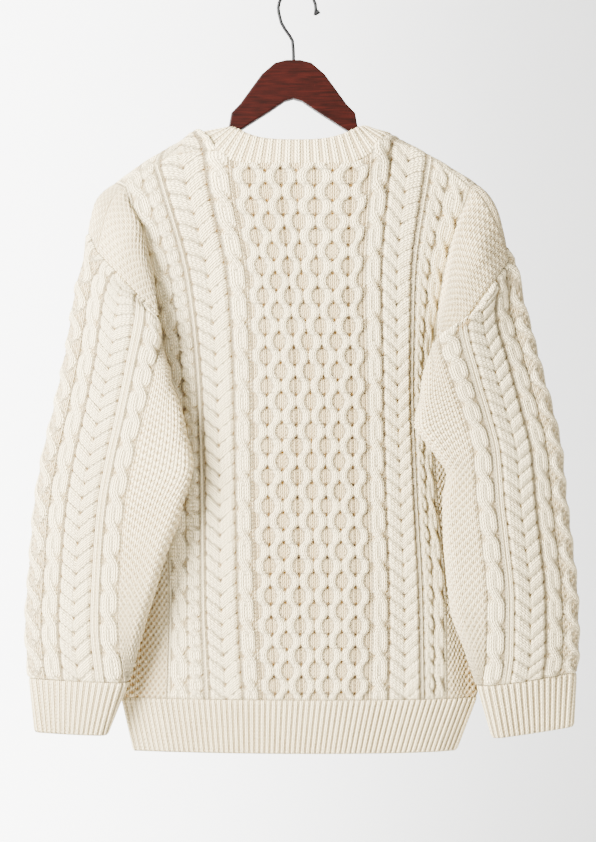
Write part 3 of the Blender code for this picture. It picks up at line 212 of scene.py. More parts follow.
# A smooth curve through the knots that never swings past them
def smooth(knots, values, at):
    knots = np.asarray(knots, float)
    values = np.asarray(values, float)
    at = np.asarray(at, float)
    tail = (1,) * (values.ndim - 1)
    step = np.diff(knots)
    slope = np.diff(values, axis=0) / step.reshape((-1,) + tail)
    before = step[:-1].reshape((-1,) + tail)
    after = step[1:].reshape((-1,) + tail)
    same = slope[:-1] * slope[1:] > 0
    low = np.where(same, slope[:-1], 1.0)
    high = np.where(same, slope[1:], 1.0)
    mean = 3 * (before + after) / ((2 * after + before) / low + (after + 2 * before) / high)
    inner = np.where(same, mean, 0.0)
    tangent = np.concatenate([slope[:1], inner, slope[-1:]])
    cell = np.clip(np.searchsorted(knots, at, side="right") - 1, 0, len(step) - 1)
    u = ((at - knots[cell]) / step[cell]).reshape((-1,) + tail)
    width = step[cell].reshape((-1,) + tail)
    return (values[cell] * (2 * u**3 - 3 * u**2 + 1)
            + tangent[cell] * width * (u**3 - 2 * u**2 + u)
            + values[cell + 1] * (3 * u**2 - 2 * u**3)
            + tangent[cell + 1] * width * (u**3 - u**2))


def column(table, number):
    return [row[number] for row in table]


def unit(vectors):
    length = np.linalg.norm(vectors, axis=-1, keepdims=True)
    return vectors / np.maximum(length, 1e-9)


# Distance of each point from the first, along the line
def runningLength(line):
    steps = np.linalg.norm(np.diff(line, axis=0), axis=1)
    return np.concatenate([[0], np.cumsum(steps)])


# z of a wale's upper end on the back, side -1 is the left and 1 the right
def topEdgeZ(wales, side):
    return smooth(column(topEdge, 0), column(topEdge, 1 if side < 0 else 2), wales)


# x and y of the cable part of the back for unsigned wales at heights z
def cablePart(wales, z, side):
    levels = np.array(cableLevels, float)[::-1]
    near, far, edge, recede = (2, 4, 6, 9) if side < 0 else (3, 5, 7, 10)
    atLevel = smooth(levels[:, 0], levels, z.ravel())
    knots = [0, 62, 116, cableEdge]
    x = np.empty(z.size)
    for number, (wale, row) in enumerate(zip(wales.ravel(), atLevel)):
        x[number] = smooth(knots, [row[1], row[near], row[far], row[edge]], [wale])[0]
    y = -atLevel[:, 8] + atLevel[:, recede] * (wales.ravel() / cableEdge) ** 2.2
    return x.reshape(z.shape), y.reshape(z.shape)


# z of each wale at each row: level up to the underarm, then drawn together to the top edge
def backHeights(wales, rows, side):
    tops = topEdgeZ(wales, side)
    above = np.clip((rows - underarmRow) / (backRows - underarmRow), 0, 1)
    below = np.clip(rows / underarmRow, 0, 1)
    level = hemSeamZ + below * (underarmZ - hemSeamZ)
    return level[:, None] + above[:, None] * (tops - underarmZ)[None, :]


# The extra knot that rounds the side between the back and the front, below the underarm
def roundSide(inner, seam, rows, towards):
    wale, stepX, stepY = sideRound
    share = (wale - 195.0) / (halfPanel - 195.0)
    straight = inner + (seam - inner) * share
    turned = seam - np.sign(seam[:, :1]) * np.array([stepX, 0.0])
    turned = turned + np.array([0.0, towards * stepY])
    bend = np.clip((underarmRow - rows) / 8, 0, 1)[:, None]
    return straight + (turned - straight) * bend


# Points of the back for unsigned wales (columns) and rows, in the side's half
def backHalf(wales, rows, side):
    wales = np.asarray(wales, float)
    rows = np.asarray(rows, float)
    table = np.array(leftSide if side < 0 else rightSide, float)
    knots = np.array([0, 31, 62, 90, 116, 137, cableEdge, 170, 195, sideRound[0], halfPanel])
    z = backHeights(knots, rows, side)
    inner = knots <= cableEdge
    x, y = cablePart(np.broadcast_to(knots[inner], z[:, inner].shape), z[:, inner], side)
    depth = -shoulderDepth[0 if side < 0 else 1]
    lean = np.clip((rows - 63) / (backRows - 63), 0, 1)[:, None] ** 1.5
    lean = lean * np.clip((knots[inner] - 60) / 25, 0, 1)[None, :]
    y = y + (depth - y) * lean
    outer = smooth(table[:, 0], table[:, 1:], rows)
    seam = outer[:, 4:6]
    nearSeam = roundSide(outer[:, 2:4], seam, rows, -1)
    x = np.concatenate([x, outer[:, [0, 2]], nearSeam[:, :1], seam[:, :1]], axis=1)
    y = np.concatenate([y, outer[:, [1, 3]], nearSeam[:, 1:], seam[:, 1:]], axis=1)
    points = smooth(knots, np.stack([x, y, z], axis=-1).transpose(1, 0, 2), wales)
    points = points.transpose(1, 0, 2)
    points[:, :, 2] = backHeights(wales, rows, side)
    return points


# Points of the whole back, for signed wales
def backSurface(wales, rows):
    wales = np.asarray(wales, float)
    points = np.empty((len(rows), len(wales), 3))
    left = wales <= 0
    points[:, left] = backHalf(-wales[left], rows, -1)
    points[:, ~left] = backHalf(wales[~left], rows, 1)
    return points


# Points of one front, for unsigned wales from the front band to the side seam
def frontSurface(wales, rows, side):
    wales = np.asarray(wales, float)
    rows = np.asarray(rows, float)
    left = side < 0
    raised = 0.0 if left else bandStep
    ridge = np.array(ridgeLine, float)[:, [0, 1, 2] if left else [0, 3, 4]]
    neck = np.array(frontNeck, float)[:, [0, 1, 3, 4] if left else [0, 2, 3, 5]]
    arm = np.array(frontArmhole, float)[:, [0, 1, 2] if left else [0, 3, 4]]
    sideTable = np.array(leftSide if left else rightSide, float)
    knots = np.array([15, 31, 46.5, 62, 64.5, crossingWale, 68.3, 69.6, neckWale, 81, 90, 98,
                      116, 137, cableEdge, 176, 195, sideRound[0], halfPanel])
    knotRows = np.array([0, 12, 24, 34, underarmRow, 46, 52, 58, 64.5, 66, 67.4, ridgeRow,
                          69.2, 70.2, 71.1, backRows])
    seam = smooth(sideTable[:, 0], sideTable[:, 5:7], knotRows)
    above = knotRows > underarmRow
    seam[above] = smooth(arm[:, 0], arm[:, 1:], np.minimum(knotRows[above], ridgeRow))
    corner = backHalf([neckWale], [backRows], side)[0, 0]
    net = np.zeros((len(knotRows), len(knots), 3))
    for number, wale in enumerate(knots):
        over = wale >= crossingWale
        if over:
            crestX, crestZ = smooth(ridge[:, 0], ridge[:, 1:], [wale])[0]
            crestRow = np.interp(wale, [crossingWale, neckWale], [backRows, ridgeRow])
            path = [(crestRow - below, crestX, y, crestZ - drop)
                    for below, y, drop in ridgeSteps]
            if wale > crossingWale:
                end = backHalf([wale], [backRows], side)[0, 0]
                if wale < neckWale:
                    share = (neckWale - wale) / (neckWale - crossingWale)
                    end = corner + (np.array(path[-1][1:]) - corner) * share
                    end = end + np.array([-side * 3.0, -2.0, 0.0]) * 4 * share * (1 - share)
                middle = (crestRow + backRows) / 2 - 0.4
                path.append((middle, crestX * 0.6 + end[0] * 0.4, end[1] * 0.72,
                             crestZ * 0.7 + end[2] * 0.3))
                path.append((backRows, *end))
            path = np.array(path, float)
            z = np.interp(knotRows, [0, underarmRow, path[0, 0]],
                          [hemSeamZ, underarmZ, path[0, 3]])
        else:
            end = smooth(neck[:, 0], neck[:, 1:], [wale])[0]
            z = np.interp(knotRows, [0, underarmRow, backRows], [hemSeamZ, underarmZ, end[2]])
        flat = min(wale, cableEdge)
        nearBand = max(0.0, 1 - (wale - 15) / 45)
        x, _ = cablePart(np.full(len(knotRows), flat), np.minimum(z, -150.0), side)
        edge, _ = cablePart(np.full(len(knotRows), 15.0), np.minimum(z, -150.0), side)
        x = x + (bandCentre(z) + side * bandWidth / 2 - edge) * nearBand
        y = bandDepth(z) - 10.0 * (flat / cableEdge) ** 2.2
        y = y + raised * nearBand
        y = y - np.interp(knotRows, [34, 64.5], [0, 4]) * (wale / cableEdge)
        if wale > cableEdge:
            mix = (wale - cableEdge) / (halfPanel - cableEdge)
            x = x + (seam[:, 0] - x) * mix
            y = y + (seam[:, 1] - y) * mix ** 1.6
        if wale == sideRound[0]:
            turned = roundSide(net[:, number - 1, :2], seam, knotRows, 1)
            x, y = turned[:, 0], turned[:, 1]
        if over:
            near = np.interp(knotRows, [56, path[0, 0]], [0, 1])
            x = x + (crestX - x) * near
            y = y + (ridgeFrontY - y) * near
            high = knotRows >= path[0, 0]
            x[high], y[high], z[high] = smooth(path[:, 0], path[:, 1:], knotRows[high]).T
        else:
            near = np.clip((knotRows - 46) / (backRows - 46), 0, 1) ** 1.5
            x = x + (end[0] - x) * near * (wale > 15)
            y = y + (end[1] - y) * near ** 1.4
            x[-1], y[-1], z[-1] = end
        net[:, number] = np.stack([x, y, z], axis=-1)
    along = smooth(knotRows, net, rows)
    return smooth(knots, along.transpose(1, 0, 2), wales).transpose(1, 0, 2)


# The line of the front bands: their middle's x and how far forward they lie at heights z
def bandCentre(z):
    return np.interp(z, [hemSeamZ, -236], [18, 3])


def bandDepth(z):
    return np.interp(z, bandLevels, bandDepths)


# Unit normals of a grid of points, outward for wales that run left to right and rows upward
def gridNormals(points, flip):
    across = np.gradient(points, axis=1)
    along = np.gradient(points, axis=0)
    normal = unit(np.cross(across, along))
    return -normal if flip else normal


def backGrid():
    wales = np.array([-w for w in bodyWales[:0:-1]] + bodyWales, float)
    rows = np.arange(backRows + 1)
    points = backSurface(wales, rows)
    # straight lines between the rows where the side edges are sewn
    for col in (0, -1):
        edge = points[:, col]
        kept = edge[seamRows].copy()
        for axis in range(3):
            edge[:, axis] = np.interp(rows, seamRows, kept[:, axis])
    return {"wales": wales, "rows": rows, "points": points}


# One front's grid. Its side seam and shoulder seam share the points of the back, and top is
# its upper edge, of which the first neckCount points are the neckline.
def frontGrid(side, back):
    wales = np.array(frontWales, float)
    rows = np.array(frontRows)
    own = back["wales"] * side
    points = frontSurface(wales, rows, side)
    below = rows <= underarmRow
    points[below, -1] = back["points"][rows[below], int(np.argmax(own))]
    shoulder = [k for k in np.argsort(own) if own[k] >= neckWale]
    topWales = np.concatenate([neckWales, own[shoulder]])
    top = frontSurface(topWales, [backRows], side)[-1]
    top[len(neckWales):] = back["points"][-1, shoulder]
    points[-1] = [top[np.argmin(abs(topWales - w))] for w in wales]
    return {"rows": rows, "points": points, "top": top, "neckCount": len(neckWales) + 1}


# A flattened ring as points at even steps, starting at the outer edge and passing the side
# that faces the viewer first, and the length to the inner edge along that side
def ring(outerX, innerX, yAt, radiusAt):
    sign = 1.0 if innerX > outerX else -1.0
    start = outerX + sign * radiusAt[0]
    stop = innerX - sign * radiusAt[2]
    u = np.linspace(0, 1, 61)
    x = start + (stop - start) * u
    weights = [(1 - u) * (1 - 2 * u), 4 * u * (1 - u), u * (2 * u - 1)]
    y = sum(w * v for w, v in zip(weights, yAt))
    radius = sum(w * v for w, v in zip(weights, radiusAt))
    near = np.stack([x, y - radius], axis=1)
    far = np.stack([x, y + radius], axis=1)[::-1]
    turn = np.radians(np.linspace(-90, 90, 21))[1:-1]
    innerCap = np.stack([stop + sign * radiusAt[2] * np.cos(turn),
                          y[-1] + radiusAt[2] * np.sin(turn)], axis=1)
    outerCap = np.stack([start - sign * radiusAt[0] * np.cos(turn),
                          y[0] - radiusAt[0] * np.sin(turn)], axis=1)
    loop = np.concatenate([outerCap[9:], near, innerCap, far, outerCap[:10]])
    length = runningLength(loop)
    innerLength = length[len(outerCap[9:]) + len(near) + 9]
    return loop, length, innerLength


# Distances of the sleeve's wales from its centre wale, where half the ring is halfLength
def waleDistances(wales, halfLength):
    edge = sleeveWales[-1]
    past = np.clip(wales - edge, 0, None)
    return np.where(wales <= edge, wales, edge + past * (halfLength - edge))


# Both sides of one section, each from the centre wale to the underarm
def sleeveSection(row, both):
    outerX, outerZ, innerX, innerZ = row[1:5]
    loop, length, innerLength = ring(outerX, innerX, row[5:8], row[8:11])
    under, underZ = row[11:13]
    total = length[-1]
    twist = sleeveTwist
    sides = []
    for near, wales in zip((True, False), both):
        if near:
            half = innerLength + under - twist
            at = twist + waleDistances(wales, half)
        else:
            half = total - innerLength - under + twist
            at = (twist - waleDistances(wales, half)) % total
        x = np.interp(at, length, loop[:, 0])
        y = np.interp(at, length, loop[:, 1])
        share = waleDistances(wales, half) / half
        if near:
            innerShare = (innerLength - twist) / half
            z = smooth([0, innerShare, 1.001], [outerZ, innerZ, underZ], share)
        else:
            z = outerZ + (underZ - outerZ) * share
        sides.append(np.stack([x, y, z], axis=1))
    return sides


# The armhole, in two halves from the shoulder to the underarm: along the back and along the
# front. The body and the sleeve turn towards each other there, and away is the sleeve's way
# out of the seam.
def armhole(side, table, back, front):
    edge = int(np.argmax(back["wales"] * side))
    backPart = [row for row in seamRows if row >= underarmRow][::-1]
    frontPart = [k for k, row in enumerate(front["rows"]) if row >= underarmRow][::-1]
    moss = sleeveWales[-1]
    halves = []
    wales = []
    for grid, rows, col, inside in ((back, backPart, edge, edge - side),
                                    (front, frontPart, -1, -2)):
        points = grid["points"][rows, col]
        length = runningLength(points)
        wales.append(np.where(length <= moss, length,
                              moss + (length - moss) / (length[-1] - moss)))
        halves.append({"points": points, "length": length,
                       "inside": unit(grid["points"][rows, inside] - points)})
    for half, target in zip(halves, sleeveSection(table[0], wales)):
        along = unit(np.gradient(half["points"], axis=0))
        way = unit(target - half["points"]) - half["inside"]
        way = way - along * np.sum(way * along, axis=1, keepdims=True)
        half["away"] = unit(way)
    shoulder = unit(halves[0]["away"][0] + halves[1]["away"][0])
    for half in halves:
        half["away"][0] = shoulder
        half["away"][-1] = unit(np.array(underarmWay) * [side, 1, 1])
    return halves


# A grid of sleeve points for shares of its length, on both sides of the centre wale
def sleeveSurface(table, holes, alongs, both):
    knots = [0.0, seamRing / sleeveLength] + [row[0] for row in table]
    sections = [[], []]
    for half, hole in enumerate(holes):
        at = waleDistances(both[half], hole["length"][-1])
        ringPoints = hole["points"] + hole["away"] * seamRing
        sections[half].append(smooth(hole["length"], hole["points"], at))
        sections[half].append(smooth(hole["length"], ringPoints, at))
    for row in table:
        for half, section in enumerate(sleeveSection(row, both)):
            sections[half].append(section)
    near, far = [smooth(knots, np.array(s), alongs) for s in sections]
    return np.concatenate([near, far[:, -2:0:-1]], axis=1)


def tubeNormals(points, flip):
    closed = np.concatenate([points[:, -2:], points, points[:, :2]], axis=1)
    return gridNormals(closed, flip)[:, 2:-2]


# Points at even spacing along a polyline
def spread(points, count, closed):
    line = np.concatenate([points, points[:1]]) if closed else points
    length = runningLength(line)
    at = np.linspace(0, length[-1], count + 1)
    if closed:
        at = at[:-1]
    return np.stack([np.interp(at, length, line[:, k]) for k in range(3)], axis=1)


# The lower edge of the ribbed hem: drawn in at the side seams, whose x are in edges, and not
# at startX
def hemEnd(top, startX, edges):
    low = top.copy()
    for edgeX in edges:
        drawn = edgeX * hemDrawnIn[0 if edgeX < 0 else 1]
        half = (top[:, 0] - startX) * np.sign(edgeX) > 0
        low[half, 0] = startX + (top[half, 0] - startX) * (drawn - startX) / (edgeX - startX)
    low[:, 1] = top[:, 1] * 0.88
    low[:, 2] = hemSeamZ - hemHeight
    return low


# The free edge of the neckband: it leans in over the shoulders and stands at the back
def neckbandTop(points):
    lean = np.abs(points[:, 0] - 1.0) / 98.0
    top = points.copy()
    top[:, 0] = 1.0 + (points[:, 0] - 1.0) * (1 - 0.235 * lean ** 2)
    top[:, 1] = points[:, 1] * 0.80
    top[:, 2] = points[:, 2] + neckbandHeight * (0.94 - 0.14 * lean ** 3)
    return top


knit = {
    "wale": 3.9,             # width of one knitted stitch
    "row": 4.0,              # height of one knitted stitch
    "wall": 3.0,             # thickness behind the stitches
    "strand": 3.3,           # how high a cable strand stands
    "rib": 1.9,              # how high a rib stands
    "moss": 3.0,             # how high moss stitch stands
    "spacing": 1.7,          # of the fine mesh
}
# kind, nearest and farthest wale from the centre in millimetres, and the repeat upwards
bodyColumns = [
    ("honeycomb", 0, 62, 31.0), ("rope", 64, 80.5, 31.0), ("chevron", 82, 113.5, 15.5),
    ("rib", 114.7, 118.9, 0), ("rope", 119.6, 136, 15.5), ("rope", 136, 153.5, 31.0),
    ("rib", 153.8, 158, 0), ("moss", 159.5, 230, 8.0),
]
sleeveColumns = [
    ("chain", 0, 14, 31.0), ("rope", 15, 33, 31.0), ("chevron", 34.5, 68, 15.5),
    ("rib", 69, 73.2, 0), ("rib", 73.8, 78, 0), ("rope", 79, 97, 31.0), ("moss", 98.5, 300, 8.0),
]


# The rounded top of a strand
def crown(across, half):
    return np.sqrt(np.clip(1 - (across / half) ** 2, 0, 1))


def honeycombStitch(s, t):
    cell = cableRepeat
    wave = np.cos(2 * np.pi * t / cell)
    swing = 3.4 * np.sign(wave) * np.abs(wave) ** 0.55
    number = np.floor(s / (cell / 2))
    middle = (number + 0.5) * cell / 2 + np.where(number % 2 == 0, swing, -swing)
    across = s - middle
    strand = crown(across, 5.0)
    high = knit["strand"] * (strand ** 0.8)
    # two wales show in each hollow, and a hole at its top and bottom
    column = np.round(s / cell)
    own = s - column * cell
    up = t - np.round(t / cell) * cell
    other = s - (np.floor(s / cell) + 0.5) * cell
    upOther = t - (np.floor(t / cell) + 0.5) * cell
    floor = 0.5 + 0.35 * np.sin(np.pi * np.abs(own) / 4.0) ** 2
    pit = np.exp(-((own / 1.7) ** 2 + ((np.abs(up) - 8.9) / 1.5) ** 2))
    pit += np.exp(-((other / 1.7) ** 2 + ((np.abs(upOther) - 8.9) / 1.5) ** 2))
    # painted shade: the lower the cloth lies between the strands, the more tan its colour
    hollowShade = np.clip(1.15 - high / 1.9, 0, 1) * 0.42
    inHollow = high < 0.7
    # a row of small gaps where two strands lie side by side
    line = s - np.round(s / (cell / 2)) * cell / 2
    gaps = np.exp(-(line / 0.8) ** 2) * (0.5 + 0.5 * np.cos(2 * np.pi * t / knit["row"]))
    gaps = np.where(inHollow, 0.4 * gaps, gaps)
    high = np.maximum(high, floor) - 1.5 * pit - 0.9 * gaps
    # the pits and gaps get deeper painted shade
    hollowShade = np.clip(hollowShade + 0.9 * pit + 0.75 * gaps, 0, 1)
    u = np.where(inHollow, own / 4.0, across / 4.4)
    return high, hollowShade, u, t / knit["row"]


# Two strands that cross, the one from upper left to lower right on top
def crossing(s, t, swing, half, repeat, ground):
    high = np.full(s.shape, -1.0)
    u = np.zeros(s.shape)
    part = t / repeat - np.floor(t / repeat)
    # a rope's strands lie side by side and cross within a few rows, a chain's swing evenly
    turn = np.clip((part - 0.17) / 0.66, 0, 1) if ground == 0 else part
    for way in (1, -1):
        across = s - way * swing * np.cos(np.pi * turn)
        lift = way * np.sin(np.pi * turn)
        strand = crown(across, half)
        own = np.where(strand > 0, 1.3 * lift + 0.7 + 2.1 * strand ** 0.7, -1.0)
        u = np.where(own > high, across / (half * 0.98), u)
        high = np.maximum(high, own)
    # painted shade: tan where the strands dip and between them
    hollowShade = np.clip(1.0 - (high + 0.1) / 2.2, 0, 1) * 0.9
    level, shade, across, up = mossStitch(s, t)
    low = high < ground * level
    return (np.maximum(high, np.maximum(ground * level, 0.15)),
            np.where(low, 0.25 + 0.5 * shade, hollowShade), np.where(low, across, u), up)


# Arms that fall from both sides to the middle, one above the other
def chevronStitch(s, t, half, repeat):
    away = np.abs(s)
    rise = 13.5 * (away / half) ** 0.85
    step = (t - rise) / repeat
    part = step - np.floor(step)
    high = knit["strand"] * crown(part - 0.52, 0.53) ** 0.8
    high = high * np.clip((half - away) / 2.5, 0.2, 1)
    high = high - 0.9 * np.exp(-(away / 0.9) ** 2)
    valley = np.minimum(part, 1 - part)
    pit = np.exp(-((away / 1.6) ** 2 + (valley * repeat / 1.8) ** 2))
    pit += 0.8 * np.exp(-(((half - away) / 1.5) ** 2 + (valley * repeat / 1.6) ** 2))
    # painted shade: tan low between the arms and deepest in the pits
    hollowShade = np.clip(0.9 - high / 1.7, 0, 1) * 0.5
    return (high - 1.3 * pit, np.clip(hollowShade + pit, 0, 1), part * 3,
            away / 3.6 + np.floor(step) * 0.37)


def ribStitch(s, t, half):
    top = crown(s, half)
    # painted shade: tan beside the raised wale
    return (0.2 + knit["rib"] * top, 0.6 * np.clip(0.8 - top, 0, 1), s / (2 * half) + 0.5,
            t / knit["row"])


def mossStitch(s, t):
    bump = 0.5 + 0.5 * np.sin(2 * np.pi * s / 7.8) * np.sin(2 * np.pi * t / 8.0)
    fine = 0.5 + 0.5 * np.sin(2 * np.pi * (s + t) / 3.9) * np.sin(2 * np.pi * (s - t) / 4.1)
    high = knit["moss"] * (0.8 * bump ** 0.7 + 0.2 * fine)
    # painted shade: tan between the bumps
    return high, np.clip(0.75 - 1.1 * bump, 0, 0.75), s / knit["wale"], t / knit["row"]


# Height, painted shade for the colour (tan in the hollows) and stitch coordinates of the knitting.
# s runs across to the viewer's right and t upwards, and the columns lie on both sides of s = 0.
def knitField(s, t, columns):
    s, t = np.broadcast_arrays(np.asarray(s, float), np.asarray(t, float))
    bar = 0.5 + 0.5 * np.cos(2 * np.pi * t / 4.0)
    high = 0.1 + 0.5 * bar
    # painted shade on the plain ground, darker between the rows of stitches
    hollowShade = 0.55 - 0.3 * bar
    u = s / knit["wale"]
    v = t / knit["row"]
    for kind, near, far, repeat in columns:
        for side in (-1, 1):
            centre = side * (near + far) / 2
            half = (far - near) / 2
            inside = (s * side >= near) & (s * side <= far)
            if not inside.any():
                continue
            own = s[inside]
            up = t[inside]
            if kind == "honeycomb":
                made = honeycombStitch(own, up)
            elif kind == "chain":
                made = crossing(own, up, 8.4, 4.4, repeat, 0.8)
            elif kind == "rope":
                made = crossing(own - centre, up, half * 0.46, half * 0.56, repeat, 0.0)
            elif kind == "chevron":
                made = chevronStitch(own - centre, up, half, repeat)
            elif kind == "rib":
                made = ribStitch(own - centre, up, half)
            else:
                made = mossStitch(own, up)
            for whole, piece in zip((high, hollowShade, u, v), made):
                whole[inside] = piece
    return high, hollowShade, u, v


# The 1x1 ribbing of hem, cuffs and neckband: a raised wale and a narrow groove
def ribField(ribs, down):
    part = ribs - np.floor(ribs)
    top = crown(part - 0.33, 0.36)
    # painted shade: the groove's colour is darkened to tan
    groove = np.clip(1 - top * 1.4, 0, 1)
    return knit["rib"] * top ** 0.7, groove * 0.55, part / 0.66, down / knit["row"]


def linear(code):
    channels = [int(code[k:k + 2], 16) / 255 for k in (1, 3, 5)]
    return tuple([c / 12.92 if c <= 0.04045 else ((c + 0.055) / 1.055) ** 2.4
                  for c in channels] + [1.0])


# Adds a node with its settings and the links of its inputs
def addNode(tree, kind, settings=None, links=None):
    node = tree.nodes.new(kind)
    for name, value in (settings or {}).items():
        if isinstance(name, int) or name in node.inputs:
            node.inputs[name].default_value = value
        else:
            setattr(node, name, value)
    for name, source in (links or {}).items():
        tree.links.new(source, node.inputs[name])
    return node


def newMaterial(name):
    material = bpy.data.materials.new(name)
    material.use_nodes = True
    return material, material.node_tree, material.node_tree.nodes["Principled BSDF"]


wool = {
    # light is the yarn's cream; deep is the tan of the painted shade in recesses and between
    # stitches
    "light": "#ffedbc", "deep": "#8a6005",
    "stitchBump": 1.0, "stitchDepth": 0.0022,    # of one knitted V, in metres
    "fuzzBump": 0.35, "fuzzDepth": 0.0005,       # of the loose fibres
}


# Lambswool yarn, undyed, machine knitted: matte, with a soft halo of loose fibres, creamy on the
# strands, with tan shade painted into the colour between them
def woolMaterial(name):
    material, tree, shader = newMaterial(name)

    def maths(operation, first, second=None):
        links = {0: first}
        settings = {"operation": operation}
        if isinstance(second, (int, float)):
            settings[1] = second
        elif second is not None:
            links[1] = second
        return addNode(tree, "ShaderNodeMath", settings, links).outputs[0]

    uv = addNode(tree, "ShaderNodeUVMap", {"uv_map": "stitches"}).outputs[0]
    split = addNode(tree, "ShaderNodeSeparateXYZ", None, {0: uv}).outputs
    hollowShade = addNode(tree, "ShaderNodeAttribute", {"attribute_name": "hollowShade"}).outputs["Fac"]
    # one V for each stitch: two legs, which meet at the bottom
    away = maths("ABSOLUTE", maths("SUBTRACT", maths("FRACT", split[0]), 0.5))
    leg = maths("SINE", maths("MULTIPLY", away, 2 * math.pi))
    fall = maths("FRACT", maths("SUBTRACT", split[1], maths("MULTIPLY", away, 1.3)))
    length = maths("SINE", maths("MULTIPLY", fall, math.pi))
    stitch = maths("MULTIPLY", maths("POWER", maths("MAXIMUM", leg, 0.001), 0.6),
                   maths("ADD", maths("MULTIPLY", length, 0.6), 0.4))
    coords = addNode(tree, "ShaderNodeTexCoord").outputs["Object"]
    fuzz = addNode(tree, "ShaderNodeTexNoise", {"Scale": 1400.0, "Detail": 3.0}, {0: coords})
    cloud = addNode(tree, "ShaderNodeTexNoise", {"Scale": 14.0, "Detail": 2.0}, {0: coords})
    # painted shade between the legs of each V
    gapShade = maths("MULTIPLY", maths("SUBTRACT", maths("MULTIPLY", stitch, -1.0), -1.0), 0.34)
    # painted shade from the recesses and the stitch gaps, plus a random tone from the cloud noise
    shadeAndTone = maths("ADD", maths("MULTIPLY", hollowShade, 0.9), gapShade)
    shadeAndTone = maths("ADD", shadeAndTone, maths("MULTIPLY", maths("SUBTRACT", cloud.outputs[0], 0.5), 0.25))
    shadeAndTone = addNode(tree, "ShaderNodeClamp", None, {0: shadeAndTone}).outputs[0]
    colour = addNode(tree, "ShaderNodeMix", {"data_type": "RGBA"}, {0: shadeAndTone})
    colour.inputs[6].default_value = linear(wool["light"])
    colour.inputs[7].default_value = linear(wool["deep"])
    first = addNode(tree, "ShaderNodeBump", {"Strength": wool["stitchBump"],
                    "Distance": wool["stitchDepth"]}, {"Height": stitch})
    second = addNode(tree, "ShaderNodeBump", {"Strength": wool["fuzzBump"],
                     "Distance": wool["fuzzDepth"]}, {"Height": fuzz.outputs[0],
                     "Normal": first.outputs[0]})
    tree.links.new(colour.outputs[2], shader.inputs["Base Color"])
    tree.links.new(second.outputs[0], shader.inputs["Normal"])
    shader.inputs["Roughness"].default_value = 0.95
    shader.inputs["Specular IOR Level"].default_value = 0.2
    shader.inputs["Sheen Weight"].default_value = 0.1
    shader.inputs["Sheen Roughness"].default_value = 0.5
    return material


woodColours = {"dark": "#100301", "light": "#290905"}


# Beech stained mahogany red and sprayed with satin lacquer: fine dark pores along each arm
def woodMaterial():
    material, tree, shader = newMaterial("stained beech")
    coords = addNode(tree, "ShaderNodeTexCoord").outputs["Object"]
    turn = addNode(tree, "ShaderNodeMapping", None, {0: coords})
    turn.inputs["Scale"].default_value = (14.0, 160.0, 160.0)
    turn.inputs["Rotation"].default_value = (0.0, math.radians(8), 0.0)
    grain = addNode(tree, "ShaderNodeTexNoise", {"Scale": 3.0, "Detail": 6.0,
                    "Distortion": 0.4}, {0: turn.outputs[0]})
    ramp = addNode(tree, "ShaderNodeValToRGB", None, {0: grain.outputs[0]})
    ramp.color_ramp.elements[0].position = 0.3
    ramp.color_ramp.elements[1].position = 0.72
    ramp.color_ramp.elements[0].color = linear(woodColours["dark"])
    ramp.color_ramp.elements[1].color = linear(woodColours["light"])
    bump = addNode(tree, "ShaderNodeBump", {"Strength": 0.15, "Distance": 0.0002},
                   {"Height": grain.outputs[0]})
    tree.links.new(ramp.outputs[0], shader.inputs["Base Color"])
    tree.links.new(bump.outputs[0], shader.inputs["Normal"])
    shader.inputs["Roughness"].default_value = 0.45
    shader.inputs["Specular IOR Level"].default_value = 0.07
    return material


# Steel wire with black powder coat: even, slightly pebbled, softly glossy
def wireMaterial():
    material, tree, shader = newMaterial("black coated wire")
    coords = addNode(tree, "ShaderNodeTexCoord").outputs["Object"]
    speck = addNode(tree, "ShaderNodeTexNoise", {"Scale": 900.0, "Detail": 2.0}, {0: coords})
    ramp = addNode(tree, "ShaderNodeValToRGB", None, {0: speck.outputs[0]})
    ramp.color_ramp.elements[0].color = linear("#020202")
    ramp.color_ramp.elements[1].color = linear("#070707")
    bump = addNode(tree, "ShaderNodeBump", {"Strength": 0.2, "Distance": 0.0001},
                   {"Height": speck.outputs[0]})
    tree.links.new(ramp.outputs[0], shader.inputs["Base Color"])
    tree.links.new(bump.outputs[0], shader.inputs["Normal"])
    shader.inputs["Roughness"].default_value = 0.55
    shader.inputs["Specular IOR Level"].default_value = 0.15
    return material


buttons = {"count": 6, "light": "#4a2812", "dark": "#241004"}


# Leather pressed into a button: mottled brown, with a fine pebbled bump
def buttonMaterial():
    material, tree, shader = newMaterial("pressed leather")
    coords = addNode(tree, "ShaderNodeTexCoord").outputs["Object"]
    cells = addNode(tree, "ShaderNodeTexVoronoi", {"Scale": 900.0}, {0: coords})
    patch = addNode(tree, "ShaderNodeTexNoise", {"Scale": 160.0, "Detail": 4.0}, {0: coords})
    ramp = addNode(tree, "ShaderNodeValToRGB", None, {0: patch.outputs[0]})
    ramp.color_ramp.elements[0].position = 0.35
    ramp.color_ramp.elements[1].position = 0.7
    ramp.color_ramp.elements[0].color = linear(buttons["dark"])
    ramp.color_ramp.elements[1].color = linear(buttons["light"])
    bump = addNode(tree, "ShaderNodeBump", {"Strength": 0.35, "Distance": 0.0003},
                   {"Height": cells.outputs[0]})
    tree.links.new(ramp.outputs[0], shader.inputs["Base Color"])
    tree.links.new(bump.outputs[0], shader.inputs["Normal"])
    shader.inputs["Roughness"].default_value = 0.5
    return material


woolPlain = woolMaterial("undyed wool")
print("stage 2: materials made")


